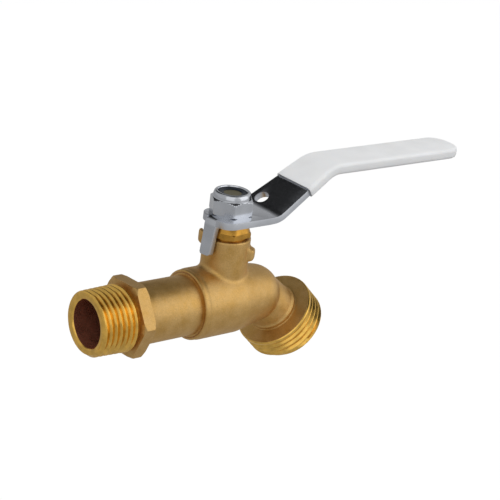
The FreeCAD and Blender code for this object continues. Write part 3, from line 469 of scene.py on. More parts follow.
# What gloss sees of the room. Each has the side it lies on, how far a direction leans to that side
# where it starts and where it is full, and the level at both.
DARK_OVERHEAD = ((0.20, -0.02, 0.98), 0.84, 0.96, 1.0, 0.1)
DARK_BEHIND = ((0.12, 0.70, 0.70), 0.81, 0.975, 1.0, 0.035)
BRIGHT_SIDE = ((0.62, -0.66, 0.43), 0.30, 0.95, 0.50, 0.71)

# The same for the floor, by the place on it in metres: a painted pool of light, a glow that only gloss sees,
# stronger on the key's side.
FLOOR_LIGHT_POOL = ((0.69, -0.72, 0.0), -0.25, 0.45, 0.2, 0.3)
FLOOR_GLOW = 0.8  # brings the floor up to the white backdrop for the camera


class HoseBibbMakeStage(bpy.types.Operator):
    """Make the floor, the lights and the camera"""
    bl_idname = "hose_bibb.make_stage"
    bl_label = "Stage"

    def execute(self, context):
        stage = context.scene.hose_bibb_stage
        self.make_camera(context, stage)
        self.make_room(context, stage)
        self.make_floor(context, stage)
        self.make_light(context, "key_softbox", KEY_PLACE, KEY_SIZE, stage.key_power)
        self.make_light(context, "fill_softbox", FILL_PLACE, FILL_SIZE, stage.fill_power)
        return {"FINISHED"}

    def make_camera(self, context, stage):
        data = bpy.data.cameras.new("camera")
        data.lens = stage.lens
        data.sensor_width = 36
        data.clip_start, data.clip_end = 0.01, 20
        camera = bpy.data.objects.new("camera", data)
        right = Vector(CAMERA_RIGHT)
        back = right.cross(Vector(CAMERA_UP)).normalized()
        up = back.cross(right).normalized()
        turn = Matrix((right, up, back)).transposed().to_4x4()
        camera.matrix_world = Matrix.Translation(Vector(CAMERA_PLACE)) @ turn
        context.scene.collection.objects.link(camera)
        context.scene.camera = camera

    def side_level(self, tree, way, side):
        """Level that a side of the room gives to directions or places, by how far they lean to it."""
        direction, start, full, before, reached = side
        lean = add_node(
            tree, "VectorMath", {"operation": "DOT_PRODUCT", 1: Vector(direction).normalized()},
            {0: way}).outputs["Value"]
        return add_node(tree, "MapRange", span(start, full, before, reached), {0: lean})

    def mirrored_rays(self, tree, path):
        """1 for the rays that gloss and clear surfaces send on, and 0 for the others."""
        return add_node(
            tree, "Math", {"operation": "ADD", "use_clamp": True},
            {0: path.outputs["Is Glossy Ray"], 1: path.outputs["Is Transmission Ray"]})

    def make_room(self, context, stage):
        """A white studio: plain light for soft surfaces, and for gloss a bright side and dark ones."""
        world = bpy.data.worlds.new("white_room")
        context.scene.world = world
        world.use_nodes = True
        tree = world.node_tree
        tree.nodes.clear()
        path = add_node(tree, "LightPath")
        way = add_node(tree, "TexCoord").outputs["Generated"]
        studio = self.side_level(tree, way, DARK_OVERHEAD)
        for side in (DARK_BEHIND, BRIGHT_SIDE):
            level = self.side_level(tree, way, side)
            studio = add_node(tree, "Math", {"operation": "MULTIPLY"}, {0: studio, 1: level})
        strength = add_node(
            tree, "Mix", {"data_type": "FLOAT", 2: stage.world_level},
            {0: self.mirrored_rays(tree, path), 3: studio})
        room = add_node(tree, "Background", {0: (1, 1, 1, 1)}, {"Strength": strength})
        white = add_node(tree, "Background", {0: (1, 1, 1, 1), "Strength": 1.0})
        mix = add_node(
            tree, "MixShader", {}, {0: path.outputs["Is Camera Ray"], 1: room, 2: white})
        add_node(tree, "OutputWorld", {}, {0: mix})

    def make_floor(self, context, stage):
        """A matt white sheet, lit up for the camera so that it runs into the backdrop."""
        mesh = bmesh.new()
        bmesh.ops.create_grid(mesh, x_segments=1, y_segments=1, size=4)
        bmesh.ops.translate(mesh, vec=(0, 0, -stage.floor_drop), verts=mesh.verts)
        data = bpy.data.meshes.new("floor")
        mesh.to_mesh(data)
        mesh.free()
        floor = bpy.data.objects.new("floor", data)
        context.scene.collection.objects.link(floor)
        material, tree, place = new_material("pale_floor")
        path = add_node(tree, "LightPath")
        # For gloss the floor also glows, more on the key's side: a painted pool of light that only
        # reflections show.
        mirrored = add_node(
            tree, "Math", {"operation": "MULTIPLY"},
            {0: self.mirrored_rays(tree, path), 1: self.side_level(tree, place, FLOOR_LIGHT_POOL)})
        glow = add_node(
            tree, "Math", {"operation": "MULTIPLY_ADD", 1: FLOOR_GLOW},
            {0: path.outputs["Is Camera Ray"], 2: mirrored})
        paint = {"Base Color": linear("#8C8C8C"), "Roughness": 0.9, "Specular IOR Level": 0.0,
                 "Emission Color": (1, 1, 1, 1)}
        shader = add_node(tree, "BsdfPrincipled", paint, {"Emission Strength": glow})
        add_node(tree, "OutputMaterial", {}, {"Surface": shader})
        data.materials.append(material)

    def make_light(self, context, name, place, size, power):
        data = bpy.data.lights.new(name, "AREA")
        data.shape = "SQUARE"
        data.size = size
        data.energy = power
        light = bpy.data.objects.new(name, data)
        light.location = place
        light.rotation_euler = (Vector(LIGHT_AIM) - Vector(place)).to_track_quat("-Z", "Y").to_euler()
        context.scene.collection.objects.link(light)


# Inlet adapter, turned about +Z from the inlet face

PIPE_CREST = 10.36  # radius at the inlet face
PIPE_DEPTH = 1.25
PIPE_ROOT = PIPE_CREST - PIPE_DEPTH
PIPE_TAPER = 1 / 32  # growth of the radius for each millimetre
PIPE_RIDGE = (-1.8, 12.9)  # from before the face, where it is cut off, to its last end
PIPE_CHAMFER = 9.93  # radius at the face
INLET_BORE = 7.5
INLET_MOUTH = 0.52  # chamfer of the bore
WRENCH_BACK = 13.1
WRENCH_FRONT = 17.2
WRENCH_FLATS = 23.0
WRENCH_CONE = 12.3  # radius where the turned corners meet the faces
WRENCH_TURN = -3.5  # degrees
BARREL_R = 9.77
LIP_R = 10.4
LIP_BACK = 37.3
PLUG_R = 9.95
PLUG_END = 42.2


class HoseBibbMakeAdapter(bpy.types.Operator):
    """Make the inlet adapter with its tapered pipe thread, hexagon and barrel"""
    bl_idname = "hose_bibb.make_adapter"
    bl_label = "Inlet Adapter"

    def execute(self, context):
        sizes, finish = context.scene.hose_bibb_sizes, context.scene.hose_bibb_finish
        core = lathe([
            (INLET_BORE + INLET_MOUTH, 0.0), (PIPE_ROOT, 0.0),
            (PIPE_ROOT + PIPE_TAPER * WRENCH_BACK, WRENCH_BACK + 0.1), (PIPE_ROOT + 0.2, WRENCH_BACK + 0.5),
            (9.4, WRENCH_FRONT - 1.2), (BARREL_R, WRENCH_FRONT - 0.2), (BARREL_R, LIP_BACK - 0.4),
            (BARREL_R, LIP_BACK - 0.05), (LIP_R, LIP_BACK), (LIP_R, LIP_BACK + 0.3),
            (PLUG_R, LIP_BACK + 0.35), (PLUG_R, PLUG_END), (INLET_BORE, PLUG_END), (INLET_BORE, INLET_MOUTH)])
        soften(core, 0.15, 2, keep=lambda edge: edge.verts[0].co.z < 1 and edge.verts[0].co.xy.length < 8.5)
        for face in core.faces:
            middle = face.calc_center_median()
            face.material_index = 1 if middle.z < WRENCH_BACK + 0.3 else 0
            if middle.xy.length < INLET_BORE + 0.3 and middle.z > INLET_MOUTH + 0.08:
                face.material_index = 2
        ridge = thread_ridge(sizes.pipe_pitch, *PIPE_RIDGE, PIPE_CREST, PIPE_DEPTH, 0.45, PIPE_TAPER)
        chamfer_start(ridge, lambda height: PIPE_CHAMFER + max(height, 0))
        slice_off(ridge, (0, 0, END_GAP), (0, 0, -1))
        rows = hex_rows(WRENCH_BACK, WRENCH_FRONT, 4)
        wrench = lathe(
            [(9.0, WRENCH_BACK)] + [(13.3, row) for row in rows] + [(9.0, WRENCH_FRONT)], HEX_ROUND)
        to_hexagon(
            wrench, WRENCH_FLATS, WRENCH_BACK, WRENCH_FRONT,
            [(WRENCH_CONE, WRENCH_BACK, 1), (WRENCH_CONE, WRENCH_FRONT, -1)])
        parts = [(core, PIPE, None), (ridge, PIPE, 1), (wrench, PIPE @ turned_by(WRENCH_TURN), 0)]
        brasses = body_brasses(finish, "pipe", PIPE_AXIS)
        finish_piece("inlet_adapter_cut", parts, brasses, "valve", ["inlet_adapter"])
        return {"FINISHED"}


# Valve body, with the outlet turned about +Z from the elbow's centre

HOSE_CREST = 13.495
HOSE_DEPTH = 1.445
HOSE_ROOT = HOSE_CREST - HOSE_DEPTH
HOSE_BORE = 8.5
HOSE_BORE_END = SPOUT_END - 6.0
WATERWAY_R = 5.02
WATERWAY_END = SPOUT_END - 9.0
THREAD_COLLAR = SPOUT_BACK + 1.2  # end of the plain collar behind the hose thread
SOCKET_R = 10.6  # what lies within this and before the socket's end is bored for the adapter
SOCKET_END = STEM_X - 8.6
BEAD_MIDDLE = SPOUT_BACK - 1.3
BEAD_R = 8.52
LUG_INSIDE = 7.85  # just outside the boss
LUG_BOTTOM = 11.5
LUG_WEAR = 26  # smoothing passes


class HoseBibbMakeBody(bpy.types.Operator):
    """Make the forged valve body with its boss, stop lugs, elbow and cut hose thread"""
    bl_idname = "hose_bibb.make_body"
    bl_label = "Valve Body"

    def execute(self, context):
        sizes, finish = context.scene.hose_bibb_sizes, context.scene.hose_bibb_finish
        forging = self.forging(context, sizes)
        self.round_lugs(forging)
        for face in forging.faces:
            middle = face.calc_center_median()
            bored = middle.yz.length < SOCKET_R and middle.x < SOCKET_END
            face.material_index = 2 if bored else 0
        parts = [
            (forging, Matrix.Identity(4), None), (self.outlet(), SPOUT, None),
            (self.hose_ridge(sizes), SPOUT, 1), (self.bead(), SPOUT, 0)]
        brasses = body_brasses(finish, "spout", SPOUT_AXIS)
        finish_piece("valve_body_forged", parts, brasses, "valve", ["valve_body"], 40)
        return {"FINISHED"}

    def forging(self, context, sizes):
        """The body's own form without its thread ridges, with every edge softened as a die leaves it."""
        mesh = bmesh.new()
        mesh.from_mesh(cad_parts["valve_body"].data)
        bmesh.ops.scale(mesh, vec=(1 / MM,) * 3, verts=mesh.verts)
        bmesh.ops.remove_doubles(mesh, verts=mesh.verts, dist=1e-3)
        way = Vector(SPOUT_AXIS)
        slice_off(mesh, Vector((ELBOW_X, 0, 0)) + way * (SPOUT_BACK + 0.02), way)
        data = bpy.data.meshes.new("forging")
        mesh.to_mesh(data)
        mesh.free()
        blank = bpy.data.objects.new("forging", data)
        context.scene.collection.objects.link(blank)
        shell = blank.modifiers.new("skin", "REMESH")
        shell.mode = "VOXEL"
        shell.voxel_size = sizes.forging_grain
        shell.use_smooth_shade = True
        relax = blank.modifiers.new("soft_edges", "SMOOTH")
        relax.factor = 0.5
        relax.iterations = 5
        context.view_layer.update()
        graph = context.evaluated_depsgraph_get()
        made = bpy.data.meshes.new_from_object(blank.evaluated_get(graph))
        result = bmesh.new()
        result.from_mesh(made)
        bpy.data.objects.remove(blank)
        bpy.data.meshes.remove(made)
        return result

    def round_lugs(self, mesh):
        """Wear the two stop lugs round, as a die with full corners leaves them."""
        lugs = [
            corner for corner in mesh.verts
            if (corner.co - Vector((STEM_X, 0, 0))).xy.length > LUG_INSIDE and corner.co.z > LUG_BOTTOM]
        for _ in range(LUG_WEAR):
            bmesh.ops.smooth_vert(
                mesh, verts=lugs, factor=0.5, use_axis_x=True, use_axis_y=True, use_axis_z=True)

    def outlet(self):
        """Turned end of the spout: back collar, root of the thread, end face and bore."""
        ring = lathe([
            (WATERWAY_R, SPOUT_BACK - 0.6), (7.9, SPOUT_BACK - 0.5), (8.15, SPOUT_BACK - 0.3),
            (8.4, SPOUT_BACK - 0.1), (8.8, SPOUT_BACK), (HOSE_CREST - 0.45, SPOUT_BACK),
            (HOSE_CREST, SPOUT_BACK + 0.35), (HOSE_CREST, THREAD_COLLAR), (HOSE_ROOT, THREAD_COLLAR + 0.83),
            (HOSE_ROOT, SPOUT_END), (HOSE_BORE + 0.25, SPOUT_END), (HOSE_BORE, SPOUT_END - 0.25),
            (HOSE_BORE, HOSE_BORE_END), (WATERWAY_R, WATERWAY_END)])
        soften(ring, 0.12, 2, 25)
        for face in ring.faces:
            middle = face.calc_center_median()
            face.material_index = 0 if middle.z < SPOUT_BACK + 0.1 else 1
            if middle.xy.length < HOSE_BORE + 0.05 and middle.z > 11:
                face.material_index = 2
        return ring

    def hose_ridge(self, sizes):
        """Helical ridge of the hose thread, with its start cut off at the end face."""
        ridge = thread_ridge(
            sizes.hose_pitch, THREAD_COLLAR + 0.5, SPOUT_END - 0.6, HOSE_CREST - 0.01, HOSE_DEPTH, 0.2)
        chamfer_start(ridge, lambda height: HOSE_ROOT + 0.1 + max(SPOUT_END - height, 0) * 1.1)
        slice_off(ridge, (0, 0, SPOUT_END - END_GAP), (0, 0, 1))
        return ridge

    def bead(self):
        """Rounded ring about the neck, behind the hose thread."""
        half = [(7.6, 0.85), (8.14, 0.8), (8.4, 0.55), (BEAD_R, 0.2)]
        return lathe(
            [(radius, BEAD_MIDDLE - off) for radius, off in half]
            + [(radius, BEAD_MIDDLE + off) for radius, off in reversed(half)])


# Packing nut

PACKING_BOTTOM = 17.9
PACKING_BORE = 4.1
PACKING_PLUG = 6.0
PACKING_NECK = 6.3
PACKING_HEX_BOTTOM = BOSS_TOP + 0.7
PACKING_CORNER = 7.65  # centre to a corner of the hexagon, before the cone turns it off
PACKING_CONE = 7.1
PACKING_TURN = 6.5  # degrees


class HoseBibbMakeGland(bpy.types.Operator):
    """Make the packing nut on top of the boss"""
    bl_idname = "hose_bibb.make_gland"
    bl_label = "Packing Nut"

    def execute(self, context):
        finish = context.scene.hose_bibb_finish
        nut = lathe(
            [(PACKING_BORE, PACKING_BOTTOM), (PACKING_PLUG, PACKING_BOTTOM), (PACKING_PLUG, BOSS_TOP),
             (PACKING_NECK, BOSS_TOP), (PACKING_NECK, PACKING_HEX_BOTTOM - 0.01)]
            + [(7.6, row) for row in hex_rows(PACKING_HEX_BOTTOM, PACKING_HEX_TOP, 2)]
            + [(PACKING_PLUG, PACKING_HEX_TOP), (PACKING_PLUG, PACKING_TOP - 0.4), (5.6, PACKING_TOP),
               (PACKING_BORE, PACKING_TOP)], HEX_ROUND)
        to_hexagon(
            nut, PACKING_CORNER * math.sqrt(3), PACKING_HEX_BOTTOM, PACKING_HEX_TOP,
            [(PACKING_CONE, PACKING_HEX_TOP, -1)])
        soften(nut, 0.12, 2, 40)
        # The packing nut's darker colour is painted shade from the lever plate above it, not a different
        # brass.
        turned = material_once(turned_brass, "turned_brass_stem", finish.shaded_gland_brass, STEM_AXIS, 0.3, 0.3)
        parts = [(nut, STEM @ turned_by(PACKING_TURN), 0)]
        finish_piece("packing_nut_turned", parts, [turned], "valve", ["packing_nut"])
        return {"FINISHED"}


# Lever and sleeve: flat blanks, bent along one line. Places in plan are from the stem's axis.

LEVER_RISE = 13.37  # from the hub's plate to the grip
FOOT = (13.57, 8.0)  # place of the bend and its radius at the middle of the sheet
CREST = (36.0, 12.0)
LEVER_TIP = 95.7
LEVER_REAR = -8.9
TIP_CORNER = 5.5  # radius of the grip's corners
HUB_HALF = 9.4
GRIP_HALF = 6.5
SIDE = [(9.0, HUB_HALF), (25.0, 7.75), (38.0, GRIP_HALF)]  # place and half width where the side turns
REAR_HALF = 5.4  # half width behind the stem, on the side that is cut back
STEM_HOLE = (4.0, 2.95)  # radius, and half width across its flats
SMALL_HOLE = (3.4, 4.2, 2.5)  # past the foot's bend, off the middle line, and radius
BASE_LEVEL = LEVER_BOTTOM + LEVER_THICK / 2
SLOPE = math.atan(LEVER_RISE / (CREST[0] - FOOT[0]))
FOOT_RUN = FOOT[1] * math.tan(SLOPE / 2)
CREST_RUN = CREST[1] * math.tan(SLOPE / 2)
FOOT_START = FOOT[0] - FOOT_RUN
FOOT_END = FOOT_START + FOOT[1] * SLOPE
FOOT_X = FOOT[0] + FOOT_RUN * math.cos(SLOPE)  # in plan, where the foot's bend ends
CREST_X = CREST[0] - CREST_RUN * math.cos(SLOPE)  # in plan, where the crest's bend starts
SLOPE_LONG = (CREST[0] - FOOT[0]) / math.cos(SLOPE) - FOOT_RUN - CREST_RUN
CREST_START = FOOT_END + SLOPE_LONG
CREST_END = CREST_START + CREST[1] * SLOPE


def flat_place(x):
    """Distance along the flat blank of a point whose place in plan is x."""
    if x <= FOOT_START:
        return x
    if x <= FOOT_X:
        return FOOT_START + FOOT[1] * math.asin((x - FOOT_START) / FOOT[1])
    if x <= CREST_X:
        return FOOT_END + (x - FOOT_X) / math.cos(SLOPE)
    if x <= CREST[0] + CREST_RUN:
        return CREST_START + CREST[1] * (SLOPE - math.asin(math.sin(SLOPE) - (x - CREST_X) / CREST[1]))
    return CREST_END + x - CREST[0] - CREST_RUN


def bend_blank(mesh):
    """Bend a flat blank, whose middle lies at height 0, to the lever's side view."""
    foot_z = BASE_LEVEL + FOOT_RUN * math.sin(SLOPE)
    for corner in mesh.verts:
        run, off = corner.co.x, corner.co.z
        if run <= FOOT_START:
            x, z, lean = run, BASE_LEVEL, 0.0
        elif run <= FOOT_END:
            lean = (run - FOOT_START) / FOOT[1]
            x = FOOT_START + FOOT[1] * math.sin(lean)
            z = BASE_LEVEL + FOOT[1] * (1 - math.cos(lean))
        elif run <= CREST_START:
            lean = SLOPE
            x = FOOT_X + (run - FOOT_END) * math.cos(SLOPE)
            z = foot_z + (run - FOOT_END) * math.sin(SLOPE)
        else:
            lean = max(SLOPE - (run - CREST_START) / CREST[1], 0.0)
            x = FOOT_X + SLOPE_LONG * math.cos(SLOPE) + CREST[1] * (math.sin(SLOPE) - math.sin(lean))
            z = foot_z + SLOPE_LONG * math.sin(SLOPE) + CREST[1] * (math.cos(lean) - math.cos(SLOPE))
            x += max(run - CREST_END, 0.0)
        corner.co.x = x - off * math.sin(lean)
        corner.co.z = z + off * math.cos(lean)


def flat_blank(points, rounds, holes=()):
    """One flat sheet from its corner points, with rounded corners (x, y, radius).

    A hole is (x, y, radius, half): its rim is cut flat where it is further than half off its middle."""
    mesh = bmesh.new()
    mesh.faces.new([mesh.verts.new((x, y, 0)) for x, y in points])
    for x, y, radius in rounds:
        near = min(mesh.verts, key=lambda corner: (corner.co - Vector((x, y, 0))).length)
        bmesh.ops.bevel(
            mesh, geom=[near], offset=radius, offset_type="OFFSET", segments=12, profile=0.5,
            affect="VERTICES", clamp_overlap=True, material=-1)
    if holes:
        bmesh.ops.delete(mesh, geom=mesh.faces[:], context="FACES_ONLY")
        for x, y, radius, half in holes:
            rim = bmesh.ops.create_circle(mesh, cap_ends=False, segments=40, radius=1.0)["verts"]
            for corner in rim:
                corner.co.x = x + corner.co.x * radius
                corner.co.y = y + max(min(corner.co.y * radius, half), -half)
        bmesh.ops.triangle_fill(mesh, use_beauty=True, use_dissolve=False, edges=mesh.edges[:])
    return mesh


def score_bends(mesh, after=0.0):
    """Score the sheet across where it bends, so that it can follow both curves."""
    foot = [FOOT_START + (FOOT_END - FOOT_START) * step / 8 for step in range(9)]
    crest = [CREST_START + (CREST_END - CREST_START) * step / 10 for step in range(11)]
    for place in foot + crest:
        if place > after:
            score(mesh, (place, 0, 0), (1, 0, 0))


def thicken(mesh, thick):
    """Give a flat sheet its thickness, half to each side."""
    bmesh.ops.translate(mesh, vec=(0, 0, -thick / 2), verts=mesh.verts)
    lifted = bmesh.ops.extrude_face_region(mesh, geom=mesh.faces[:])["geom"]
    corners = [item for item in lifted if isinstance(item, bmesh.types.BMVert)]
    bmesh.ops.translate(mesh, vec=(0, 0, thick), verts=corners)
    bmesh.ops.recalc_face_normals(mesh, faces=mesh.faces)


TAB_TURN = math.radians(193)
TAB_OUT = Vector((math.cos(TAB_TURN), math.sin(TAB_TURN), 0))
TAB_SIDE = Vector((-math.sin(TAB_TURN), math.cos(TAB_TURN), 0))
TAB_START = 6.94  # stem axis to the bend of the tab
TAB_HALF = 2.2
TAB_BEND = 0.6  # inner radius
TAB_LEAN = math.radians(82)  # how far it bends down
TAB_END = 17.4  # height of its end above the pipe's axis
TAB_TIP = -11.2  # on the blank, its end face lies below this height


class HoseBibbMakeLever(bpy.types.Operator):
    """Make the cranked steel lever with its stop tab"""
    bl_idname = "hose_bibb.make_lever"
    bl_label = "Lever"

    def execute(self, context):
        sizes, finish = context.scene.hose_bibb_sizes, context.scene.hose_bibb_finish
        tip = flat_place(LEVER_TIP)
        side = [(flat_place(x), half) for x, half in SIDE] + [(tip, GRIP_HALF)]
        points = (
            [(LEVER_REAR, -HUB_HALF)] + [(place, -half) for place, half in side] + side[::-1]
            + [(1.0, HUB_HALF), (-4.1, REAR_HALF), (LEVER_REAR, REAR_HALF)])
        rounds = [
            (tip, -GRIP_HALF, TIP_CORNER), (tip, GRIP_HALF, TIP_CORNER),
            (LEVER_REAR, REAR_HALF, 4.75), (LEVER_REAR, -HUB_HALF, 4.6)]
        past, aside, hole_r = SMALL_HOLE
        holes = [(0, 0, *STEM_HOLE), (FOOT_END - FOOT_RUN + past, aside, hole_r, hole_r)]
        blank = flat_blank(points, rounds, holes)
        score_bends(blank)
        self.open_notch(blank)
        thicken(blank, LEVER_THICK)
        self.bend_tab(blank)
        self.mark_edges(blank)
        soften(blank, sizes.edge_round, 3, 40)
        bend_blank(blank)
        steels = [
            material_once(plated_steel, "bright_plated_steel", finish.plated_steel, 0.13),
            material_once(plated_steel, "sheared_plated_steel", finish.plated_steel, 0.36)]
        parts = [(blank, STEM, None)]
        finish_piece("handle_lever_bent", parts, steels, "handle", ["handle_lever"], 40)
        return {"FINISHED"}

    def open_notch(self, blank):
        """Cut out the rear edge where the tab bends down."""
        score(blank, TAB_OUT * TAB_START, TAB_OUT)
        score(blank, TAB_SIDE * TAB_HALF, TAB_SIDE)
        score(blank, TAB_SIDE * -TAB_HALF, TAB_SIDE)
        gone = [
            face for face in blank.faces
            if face.calc_center_median().dot(TAB_OUT) > TAB_START
            and abs(face.calc_center_median().dot(TAB_SIDE)) < TAB_HALF]
        bmesh.ops.delete(blank, geom=gone, context="FACES")

    def mark_edges(self, blank):
        """Give the sheared edges of the sheet and of the tab the duller material."""
        for face in blank.faces:
            middle = face.calc_center_median()
            on_tab = middle.dot(TAB_OUT) > TAB_START + 0.01 and abs(middle.dot(TAB_SIDE)) < TAB_HALF + 0.05
            if on_tab:
                edge = abs(face.normal.dot(TAB_SIDE)) > 0.7 or middle.z < TAB_TIP
            else:
                edge = abs(face.normal.z) < 0.5
            face.material_index = 1 if edge else 0

    def bend_tab(self, blank):
        """Spin the notch's inner wall down through the bend, then draw it out to the tab's end."""
        wall = [
            face for face in blank.faces
            if abs(face.calc_center_median().dot(TAB_OUT) - TAB_START) < 1e-3
            and abs(face.normal.dot(TAB_OUT)) > 0.9
            and abs(face.calc_center_median().dot(TAB_SIDE)) < TAB_HALF]
        geom = wall + list({edge for face in wall for edge in face.edges})
        geom += list({corner for face in wall for corner in face.verts})
        bend_level = -LEVER_THICK / 2 - TAB_BEND
        centre = TAB_OUT * TAB_START + Vector((0, 0, bend_level))
        made = bmesh.ops.spin(
            blank, geom=geom, cent=centre, axis=TAB_SIDE, angle=TAB_LEAN, steps=8, use_merge=False)
        front = [item for item in made["geom_last"] if isinstance(item, bmesh.types.BMFace)]
        down = Vector((0, 0, -1)) * math.sin(TAB_LEAN) + TAB_OUT * math.cos(TAB_LEAN)
        long = (bend_level - (TAB_END - BASE_LEVEL) + 0.08) / math.sin(TAB_LEAN)
        before = 0.0
        for run, half in [(2.2, 2.02), (long - 0.8, 1.9), (long - 0.25, 1.65), (long, 1.1)]:
            pushed = bmesh.ops.extrude_face_region(blank, geom=front)["geom"]
            bmesh.ops.delete(blank, geom=[face for face in front if face.is_valid], context="FACES_ONLY")
            corners = [item for item in pushed if isinstance(item, bmesh.types.BMVert)]
            front = [item for item in pushed if isinstance(item, bmesh.types.BMFace)]
            bmesh.ops.translate(blank, vec=down * (run - before), verts=corners)
            widest = max(abs(corner.co.dot(TAB_SIDE)) for corner in corners)
            for corner in corners:
                aside = corner.co.dot(TAB_SIDE)
                corner.co += TAB_SIDE * (aside * half / widest - aside)
            before = run
        bmesh.ops.recalc_face_normals(blank, faces=blank.faces)


SLEEVE_START = 14.0  # along the slope, past the foot's bend


class HoseBibbMakeSleeve(bpy.types.Operator):
    """Make the dipped vinyl sleeve over the lever's grip"""
    bl_idname = "hose_bibb.make_sleeve"
    bl_label = "Sleeve"

    def execute(self, context):
        sizes, finish = context.scene.hose_bibb_sizes, context.scene.hose_bibb_finish
        wall = sizes.sleeve_wall
        start = FOOT_END - FOOT_RUN + SLEEVE_START
        start_half = self.lever_half(FOOT[0] + SLEEVE_START * math.cos(SLOPE)) + wall
        grip = flat_place(SIDE[-1][0])
        tip = flat_place(LEVER_TIP) + wall
        half = GRIP_HALF + wall
        right = [(start, -start_half), (grip, -half), (tip, -half)]
        left = [(tip, half), (grip, half), (start, start_half)]
        corner_r = TIP_CORNER + wall
        blank = flat_blank(right + left, [(tip, -half, corner_r), (tip, half, corner_r)])
        score_bends(blank, start + 0.2)
        for place in [start + 0.6] + [CREST_END + 6 * step for step in range(1, 8)]:
            score(blank, (place, 0, 0), (1, 0, 0))
        thicken(blank, LEVER_THICK + 2 * wall)
        soften(
            blank, 1.2, 6, 50, clamp=False,
            keep=lambda edge: (edge.verts[0].co.x + edge.verts[1].co.x) / 2 > start + 1e-3)
        soften(blank, 0.25, 3, 50)
        self.open_end(blank, start)
        self.sag(blank, start)
        bend_blank(blank)
        vinyl = material_once(white_vinyl, "dipped_white_vinyl", finish.white_vinyl)
        parts = [(blank, STEM, 0)]
        finish_piece("handle_sleeve_dipped", parts, [vinyl], "handle", ["handle_sleeve"], 50)
        return {"FINISHED"}

    def lever_half(self, x):
        """Half width of the lever at a place in plan on the last narrowing stretch of its side."""
        (start, first), (end, last) = SIDE[1:]
        return first + (last - first) * (x - start) / (end - start)

    def open_end(self, blank, start):
        """Sink the end face to a pocket round the steel."""
        mouth = [
            face for face in blank.faces
            if face.normal.x < -0.95 and face.calc_center_median().x < start + 0.05]
        bmesh.ops.inset_region(blank, faces=mouth, thickness=0.42, use_even_offset=True)
        inner = list({corner for face in mouth for corner in face.verts})
        bmesh.ops.translate(blank, vec=(1.2, 0, 0), verts=inner)

    def sag(self, blank, start):
        """Let the dipped skin dip in by up to 0.05 mm."""
        for corner in blank.verts:
            if corner.co.x > start + 1.0:
                dip = 0.05 * (0.5 + 0.5 * noise.noise(corner.co * 0.14))
                corner.co -= corner.normal * dip


# Lock nut and its ring

NUT_FLATS = 12.7
NUT_BORE = 4.0
NUT_COLLAR = 6.14
NUT_CONES = [(6.02, NUT_SHOULDER, -1), (6.7, LEVER_TOP, 1)]
NUT_POCKET = 5.35  # radius inside the collar
NUT_POCKET_FLOOR = 34.9
NUT_TURN = 1.5  # degrees


class HoseBibbMakeLockNut(bpy.types.Operator):
    """Make the lock nut with its rolled collar and the nylon ring in it"""
    bl_idname = "hose_bibb.make_lock_nut"
    bl_label = "Lock Nut"

    def execute(self, context):
        finish = context.scene.hose_bibb_finish
        rolled = [  # in from the collar's radius, and down from the top
            (0.03, 1.5), (0.16, 0.9), (0.28, 0.5), (0.5, 0.19), (0.78, 0.04), (1.0, 0.0), (1.25, 0.05)]
        nut = lathe(
            [(NUT_BORE, LEVER_TOP)] + [(7.3, row) for row in hex_rows(LEVER_TOP, NUT_SHOULDER, 6)]
            + [(NUT_COLLAR, NUT_SHOULDER + 0.05)]
            + [(NUT_COLLAR - off, NUT_TOP - down) for off, down in rolled]
            + [(4.82, NUT_TOP - 0.22), (4.72, NUT_TOP - 0.4), (NUT_POCKET, NUT_TOP - 0.5),
               (NUT_POCKET, NUT_POCKET_FLOOR), (NUT_BORE, NUT_POCKET_FLOOR - 0.1)], HEX_ROUND)
        to_hexagon(nut, NUT_FLATS, LEVER_TOP, NUT_SHOULDER, NUT_CONES)
        steel = material_once(plated_steel, "bright_plated_nut", finish.plated_steel, 0.16)
        parts = [(nut, STEM @ turned_by(NUT_TURN), 0)]
        finish_piece("handle_nut_rolled", parts, [steel], "handle", ["handle_nut"], 35)
        ring = lathe([
            (4.02, 34.92), (5.32, 34.92), (5.32, NUT_TOP - 0.55), (4.4, NUT_TOP - 0.45),
            (3.5, NUT_TOP - 0.52), (3.05, NUT_TOP - 0.62), (2.9, NUT_TOP - 0.77), (4.02, NUT_TOP - 0.78)])
        nylon = material_once(moulded, "pressed_dark_nylon", finish.dark_nylon, 0.42, 0.3)
        parts = [(ring, STEM, 0)]
        finish_piece("nut_ring_pressed", parts, [nylon], "handle", ["nut_nylon_insert"], 50)
        return {"FINISHED"}


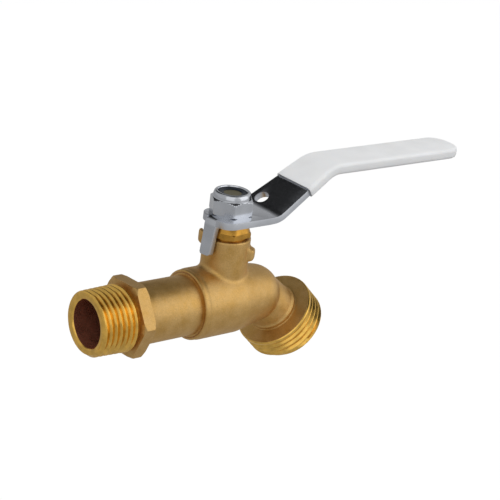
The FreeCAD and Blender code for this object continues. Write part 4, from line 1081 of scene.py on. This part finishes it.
class HoseBibbDressInside(bpy.types.Operator):
    """Give the stem, ball, seats and seals their finish"""
    bl_idname = "hose_bibb.dress_inside"
    bl_label = "Stem, Ball and Seals"

    def execute(self, context):
        finish = context.scene.hose_bibb_finish
        stem = material_once(turned_brass, "turned_brass_stem_end", finish.stem_brass, STEM_AXIS, 0.3, 0.4)
        ball = material_once(plated_steel, "polished_plated_ball", finish.plated_steel, 0.09)
        seal = material_once(moulded, "waxy_white_ptfe", finish.white_ptfe, 0.4)
        rubber = material_once(moulded, "black_nitrile_rubber", finish.black_rubber, 0.55)
        dressing = {
            "stem": stem, "ball": ball, "inlet_seat": seal, "outlet_seat": seal, "stem_thrust_washer": seal,
            "lower_packing_ring": seal, "upper_packing_ring": seal, "stem_o_ring": rubber}
        for node, material in dressing.items():
            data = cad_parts[node].data
            data.materials.clear()
            data.materials.append(material)
        return {"FINISHED"}


class HoseBibbPanel(bpy.types.Panel):
    """Sizes, finishes and operators of the hose bibb"""
    bl_idname = "VIEW3D_PT_hose_bibb"
    bl_label = "Hose Bibb"
    bl_space_type = "VIEW_3D"
    bl_region_type = "UI"
    bl_category = "Hose Bibb"

    def draw(self, context):
        for group_name in GROUPS:
            group = getattr(context.scene, group_name)
            box = self.layout.box()
            for name in group.bl_rna.properties.keys():
                if name not in ("rna_type", "name"):
                    box.prop(group, name)
        for operator in OPERATORS:
            self.layout.operator(operator.bl_idname)


GROUPS = {
    "hose_bibb_sizes": HoseBibbSizes,
    "hose_bibb_finish": HoseBibbFinish,
    "hose_bibb_stage": HoseBibbStage,
}
OPERATORS = [
    HoseBibbMakeStage, HoseBibbMakeAdapter, HoseBibbMakeBody, HoseBibbMakeGland, HoseBibbMakeLever,
    HoseBibbMakeSleeve, HoseBibbMakeLockNut, HoseBibbDressInside]


def register():
    for made in [*GROUPS.values(), *OPERATORS, HoseBibbPanel]:
        bpy.utils.register_class(made)
    for name, group in GROUPS.items():
        setattr(bpy.types.Scene, name, PointerProperty(type=group))


def unregister():
    for name in GROUPS:
        delattr(bpy.types.Scene, name)
    for made in reversed([*GROUPS.values(), *OPERATORS, HoseBibbPanel]):
        bpy.utils.unregister_class(made)


def main():
    register()
    bpy.context.scene.view_settings.view_transform = "Standard"
    for operator in OPERATORS:
        group, name = operator.bl_idname.split(".")
        getattr(getattr(bpy.ops, group), name)()


if __name__ == "__main__":
    main()
